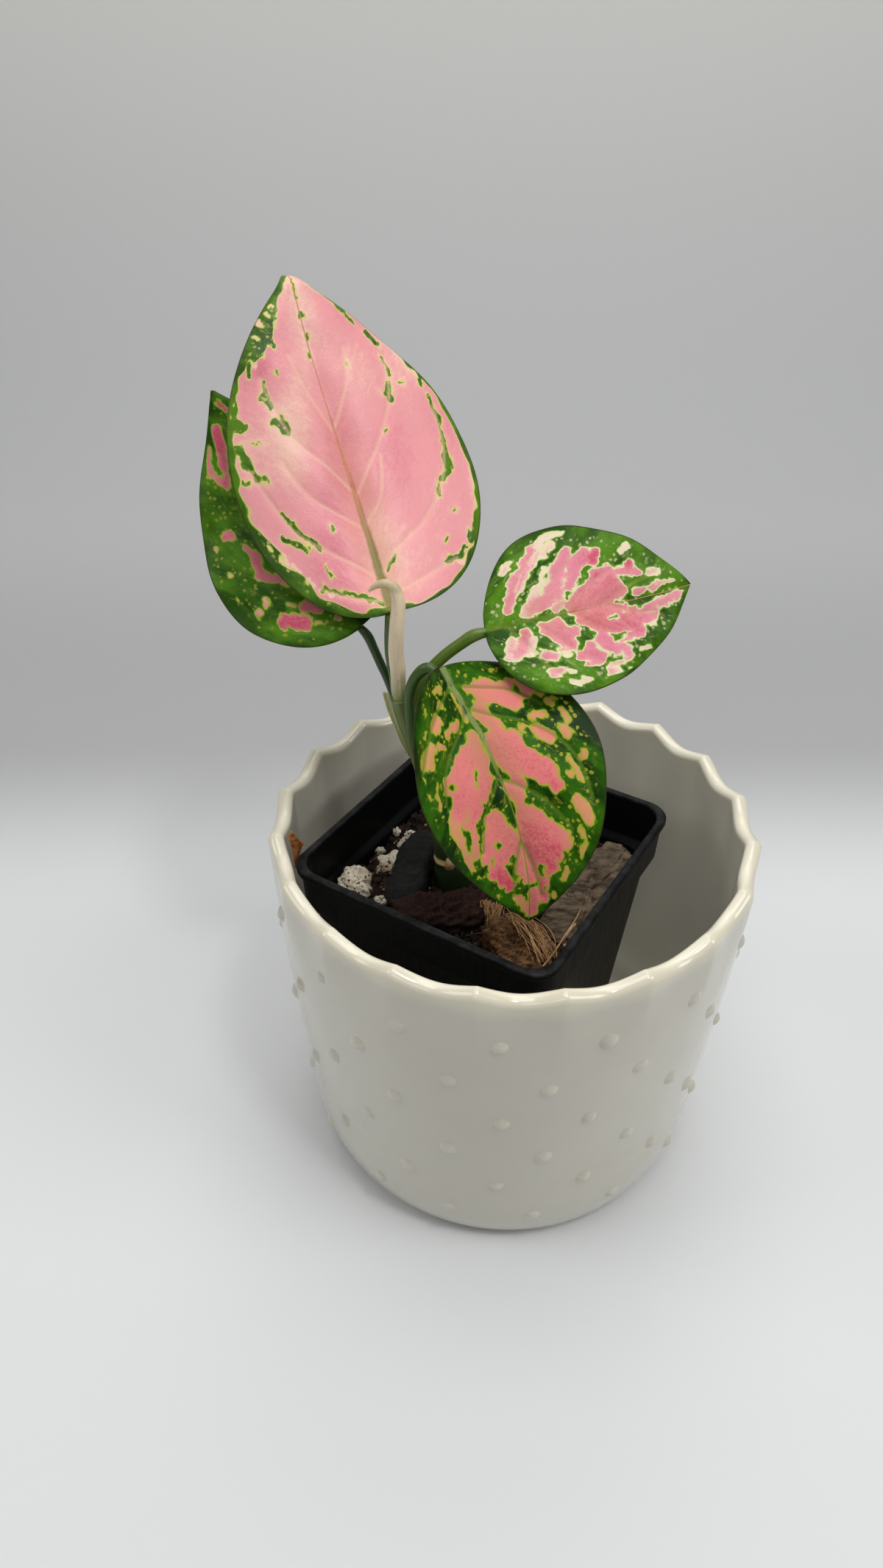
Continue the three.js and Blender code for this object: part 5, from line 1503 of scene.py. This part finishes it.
def build_variegation():
    """Node group shared by the four blades: turns the blade's maps into colour, gloss and height.

    The depth in the pink, roughened by a noise drawn out along the side veins, sets the bands of
    dark green, light green, halo and pink. The tone sets how deep the pink is.
    """
    group = bpy.data.node_groups.new("variegation", "ShaderNodeTree")
    sockets = [(name, "INPUT", "NodeSocketVector") for name in BLADE_MAPS]
    sockets += [(name, "INPUT", "NodeSocketColor") for name in BLADE_COLOURS]
    sockets += [(name, "INPUT", "NodeSocketFloat") for name in BLADE_AMOUNTS]
    sockets += [("Color", "OUTPUT", "NodeSocketColor")]
    sockets += [(name, "OUTPUT", "NodeSocketFloat") for name in ("Roughness", "Height")]
    for name, way, kind in sockets:
        group.interface.new_socket(name, in_out=way, socket_type=kind)
    given = group.nodes.new("NodeGroupInput").outputs
    result = group.nodes.new("NodeGroupOutput").inputs
    x, y, margin = parts_of(group, given["Blade"])
    patch, shade, off_vein = parts_of(group, given["Pattern"])
    in_rib, underside, _ = parts_of(group, given["Skin"])

    # The blade laid flat, and the same with its left half mirrored and drawn out along the veins.
    flat = put(group, "ShaderNodeCombineXYZ", {0: x, 1: y, 2: 0.37}).outputs[0]
    off_rib = calc(group, "ABSOLUTE", x)
    over_vein = less(group, times(group, off_rib, 0.8), times(group, y, 0.6))
    up_vein = times(group, plus(group, times(group, off_rib, 0.6), times(group, y, 0.8)), 0.4)
    apart = times(group, calc(group, "SIGN", x), 9.41)
    stretched = put(group, "ShaderNodeCombineXYZ", {0: over_vein, 1: up_vein, 2: apart}).outputs[0]
    ragged = less(group, noise(group, stretched, 0.9, 5.0, 0.62), 0.5)
    slow = noise(group, stretched, 0.16, 3.0, 0.6)
    quick = noise(group, stretched, 0.83, 4.0, 0.65, 0.8)
    swing = less(group, quick, 0.5)
    fine = noise(group, flat, 1.9, 2.0, 0.6, 0.6)
    depth = plus(group, patch, times(group, ragged, given["Ragged"]))
    wide = given["Halo Width"]

    def band(low, high):
        """A step over a stretch of depths, told in halo widths."""
        return step_between(group, depth, times(group, wide, low), times(group, wide, high))

    # Green, with soft flecks along the veins and spots in some cells, away from the margin.
    green = mix(group, step_between(group, slow, 0.35, 0.65), given["Dark Green"], given["Light Green"])
    fleck = times(group, step_between(group, quick, 0.56, 0.68), given["Speckle"])
    cell = put(group, "ShaderNodeTexVoronoi", {"Vector": flat, "Scale": 0.78}).outputs
    chosen = step_between(group, parts_of(group, cell["Color"])[0], 0.55, 0.6)
    spot = plus(group, cell["Distance"], times(group, swing, 1.3))
    spot = times(group, step_between(group, spot, 0.4, 0.22), chosen)
    fleck = calc(group, "MAXIMUM", times(group, fleck, 0.5), times(group, spot, given["Speckle"]))
    fleck = times(group, fleck, step_between(group, margin, 1.2, 2.6))
    green = mix(group, fleck, green, given["Halo"])
    green = mix(group, times(group, fine, 0.3), green, given["Dark Green"])
    green = mix(group, band(-1.6, -0.5), green, given["Light Green"])
    body = mix(group, band(-0.6, 0.1), green, given["Halo"])

    # Pink, paler at its edges, and darker and warmer beside the midrib, partly the tissue's own tint and
    # partly painted shade of the fold.
    tone = plus(group, shade, times(group, less(group, fine, 0.5), given["Grain"]))
    tone = plus(group, tone, times(group, swing, 0.55))
    tone = less(group, tone, times(group, step_between(group, depth, 1.5, 0.1), 0.18))
    pink = mix(group, step_between(group, tone, 0.0, 0.5), given["Pale"], given["Pink"])
    pink = mix(group, step_between(group, tone, 0.5, 1.0), pink, given["Deep"])
    # Partly painted shade: beside the midrib the pink is drawn towards the Far Rib colour.
    rib_tint_and_shade = times(group, step_between(group, off_rib, 9.0, 1.0), step_between(group, y, 62.0, 30.0))
    pink = mix(group, times(group, rib_tint_and_shade, 0.28), pink, given["Far Rib"])
    body = mix(group, band(0.15, 1.3), body, pink)

    # Veins, midrib, the dark rim and the paler underside.
    near_vein = times(group, step_between(group, off_vein, 0.75, 0.1), given["Vein Strength"])
    body = mix(group, near_vein, body, given["Vein Colour"])
    rib = step_between(group, plus(group, in_rib, times(group, ragged, 0.6)), 1.15, 0.45)
    rib_colour = mix(group, step_between(group, y, 12.0, 34.0), given["Rib"], given["Far Rib"])
    body = mix(group, times(group, rib, 0.85), body, rib_colour)
    rim = step_between(group, margin, 0.55, 0.15)
    body = mix(group, times(group, rim, 0.75), body, paint("2c2a16"))
    body = mix(group, underside, body, mix(group, 0.45, body, paint("6f8f52")))
    group.links.new(body, result["Color"])
    gloss = plus(group, 0.26, times(group, quick, 0.14))
    group.links.new(plus(group, gloss, times(group, underside, 0.15)), result["Roughness"])
    cells = put(group, "ShaderNodeTexVoronoi", {"Vector": flat, "Scale": 3.1}).outputs["Distance"]
    group.links.new(plus(group, fine, times(group, cells, 0.6)), result["Height"])
    return group


variegation = build_variegation()


def blade_material(name, look):
    """A blade's own material: its maps read from the mesh and its own looks for the group."""
    material, tree, shader = new_material(name, Roughness=0.35, Specular_IOR_Level=look["shine"],
                                          Subsurface_Weight=0.1, Subsurface_Scale=0.0015,
                                          Subsurface_Radius=(1.0, 0.55, 0.35))
    inputs = {key: put(tree, "ShaderNodeAttribute", attribute_name=key.lower()).outputs["Vector"]
              for key in BLADE_MAPS}
    inputs.update({key: paint(code) for key, code in zip(BLADE_COLOURS, look["colours"].split())})
    inputs.update(zip(BLADE_AMOUNTS, look["amounts"]))
    made = put(tree, "ShaderNodeGroup", inputs, node_tree=variegation).outputs
    tree.links.new(made["Roughness"], shader.inputs["Roughness"])
    wire(tree, shader, made["Color"], made["Height"], 0.22, 0.00025)
    return material


# Each leaf's mesh is columns by rows. Its colours and amounts are in the order of the lists above.
BLADE_LOOKS = {
    "leaf_large": {
        "slot": "pale_leaf", "mesh": (176, 236), "stalk": "3f5c14", "shine": 0.3,
        "colours": "2f5208 5a8612 d6cc7a f3c4b2 ea9ca0 da7e8c 6e701c c17a50 f0c3a4",
        "amounts": (0.4, 0.27, 0.35, 0.7, 0.6),
    },
    "leaf_left": {
        "slot": "deep_leaf", "mesh": (120, 170), "stalk": "26420c", "shine": 0.1,
        "colours": "234508 4c7c12 a0a443 dca58a cf7480 bd4862 3f6410 4a7012 4a7012",
        "amounts": (0.25, 0.4, 0.55, 0.6, 1.0),
    },
    "leaf_right": {
        "slot": "deep_leaf", "mesh": (140, 190), "stalk": "5d7a1c", "shine": 0.1,
        "colours": "254c0a 5c9014 e6e2b0 f4dfc8 e890a0 cf5068 5f7a18 c98a62 c2b060",
        "amounts": (0.15, 0.34, 0.4, 0.6, 1.0),
    },
    "leaf_front": {
        "slot": "deep_leaf", "mesh": (140, 200), "stalk": "38580e", "shine": 0.1,
        "colours": "0e2c03 336a09 a6a82c cf9a64 e07f7c cf4a62 86945a 7c8030 5d7e1e",
        "amounts": (0.6, 0.36, 0.9, 1.0, 1.3),
    },
}

for node, look in BLADE_LOOKS.items():
    shape, fields = leaf_shape(LEAVES[node], *look["mesh"])
    blade = outward(*shape)
    petiole = outward(*closed_tube(stalk(*petiole_path(LEAVES[node]), steps=110, sides=20)))
    extra = np.zeros((len(petiole[0]), 3))
    maps = {key: np.concatenate([field, extra]) for key, field in fields.items()}
    kinds = np.repeat([0, 1], [len(blade[1]), len(petiole[1])])
    skins = [blade_material(f"{node}_skin", look),
             stem_material(f"{node}_stalk", look["stalk"], look["stalk"], heights=(0.1, 0.2))]
    add_piece(f"{node}_blade", join_shapes([blade, petiole]), skins, [node], maps, kinds)


# Dry scraps.
# Two crisp bits of old leaf: one stands in the gap between the pots at the left, the other lies on
# the back corner of the nursery pot's lip.
# Inner edge, outer edge and bow of each scrap.
SCRAPS = {
    "dry_scrap_left": (
        [(-58.7, -8.2, 100), (-58.8, -8.2, 104), (-59, -8.6, 108.5), (-59.6, -9.6, 113.2)],
        [(-58, -6.2, 100), (-57.2, -6.4, 104.4), (-55.9, -7.4, 108.4), (-58, -8.4, 111.6)], 0.5,
    ),
    "dry_scrap_back": (
        [(-30.2, 37.2, 105.9), (-29.6, 38.5, 106.4), (-28.9, 39.8, 106)],
        [(-28.6, 36.3, 106), (-27.8, 37.3, 107.2), (-27.2, 38.6, 106.5)], 0.4,
    ),
}


def scrap_material():
    """Crisp brown leaf, blotched with tan."""
    material, tree, shader = new_material("dry_leaf", Roughness=0.7, Subsurface_Weight=0.2,
                                          Subsurface_Scale=0.002)
    blotch = noise(tree, object_place(tree), 420.0, 4.0, 0.65)
    body = mix(tree, step_between(tree, blotch, 0.35, 0.7), paint("8c4a1c"), paint("d9a05f"))
    wire(tree, shader, body, blotch, 0.5, 0.0005)
    return material


dry = scrap_material()
for node, (inner, outer, bow) in SCRAPS.items():
    curl = leaf_like(inner, outer, bow, thickness=0.4, rows=30, columns=12, ragged=0.5, seed=17)
    add_piece(f"{node}_curl", curl, [dry], [node])


low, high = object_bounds()
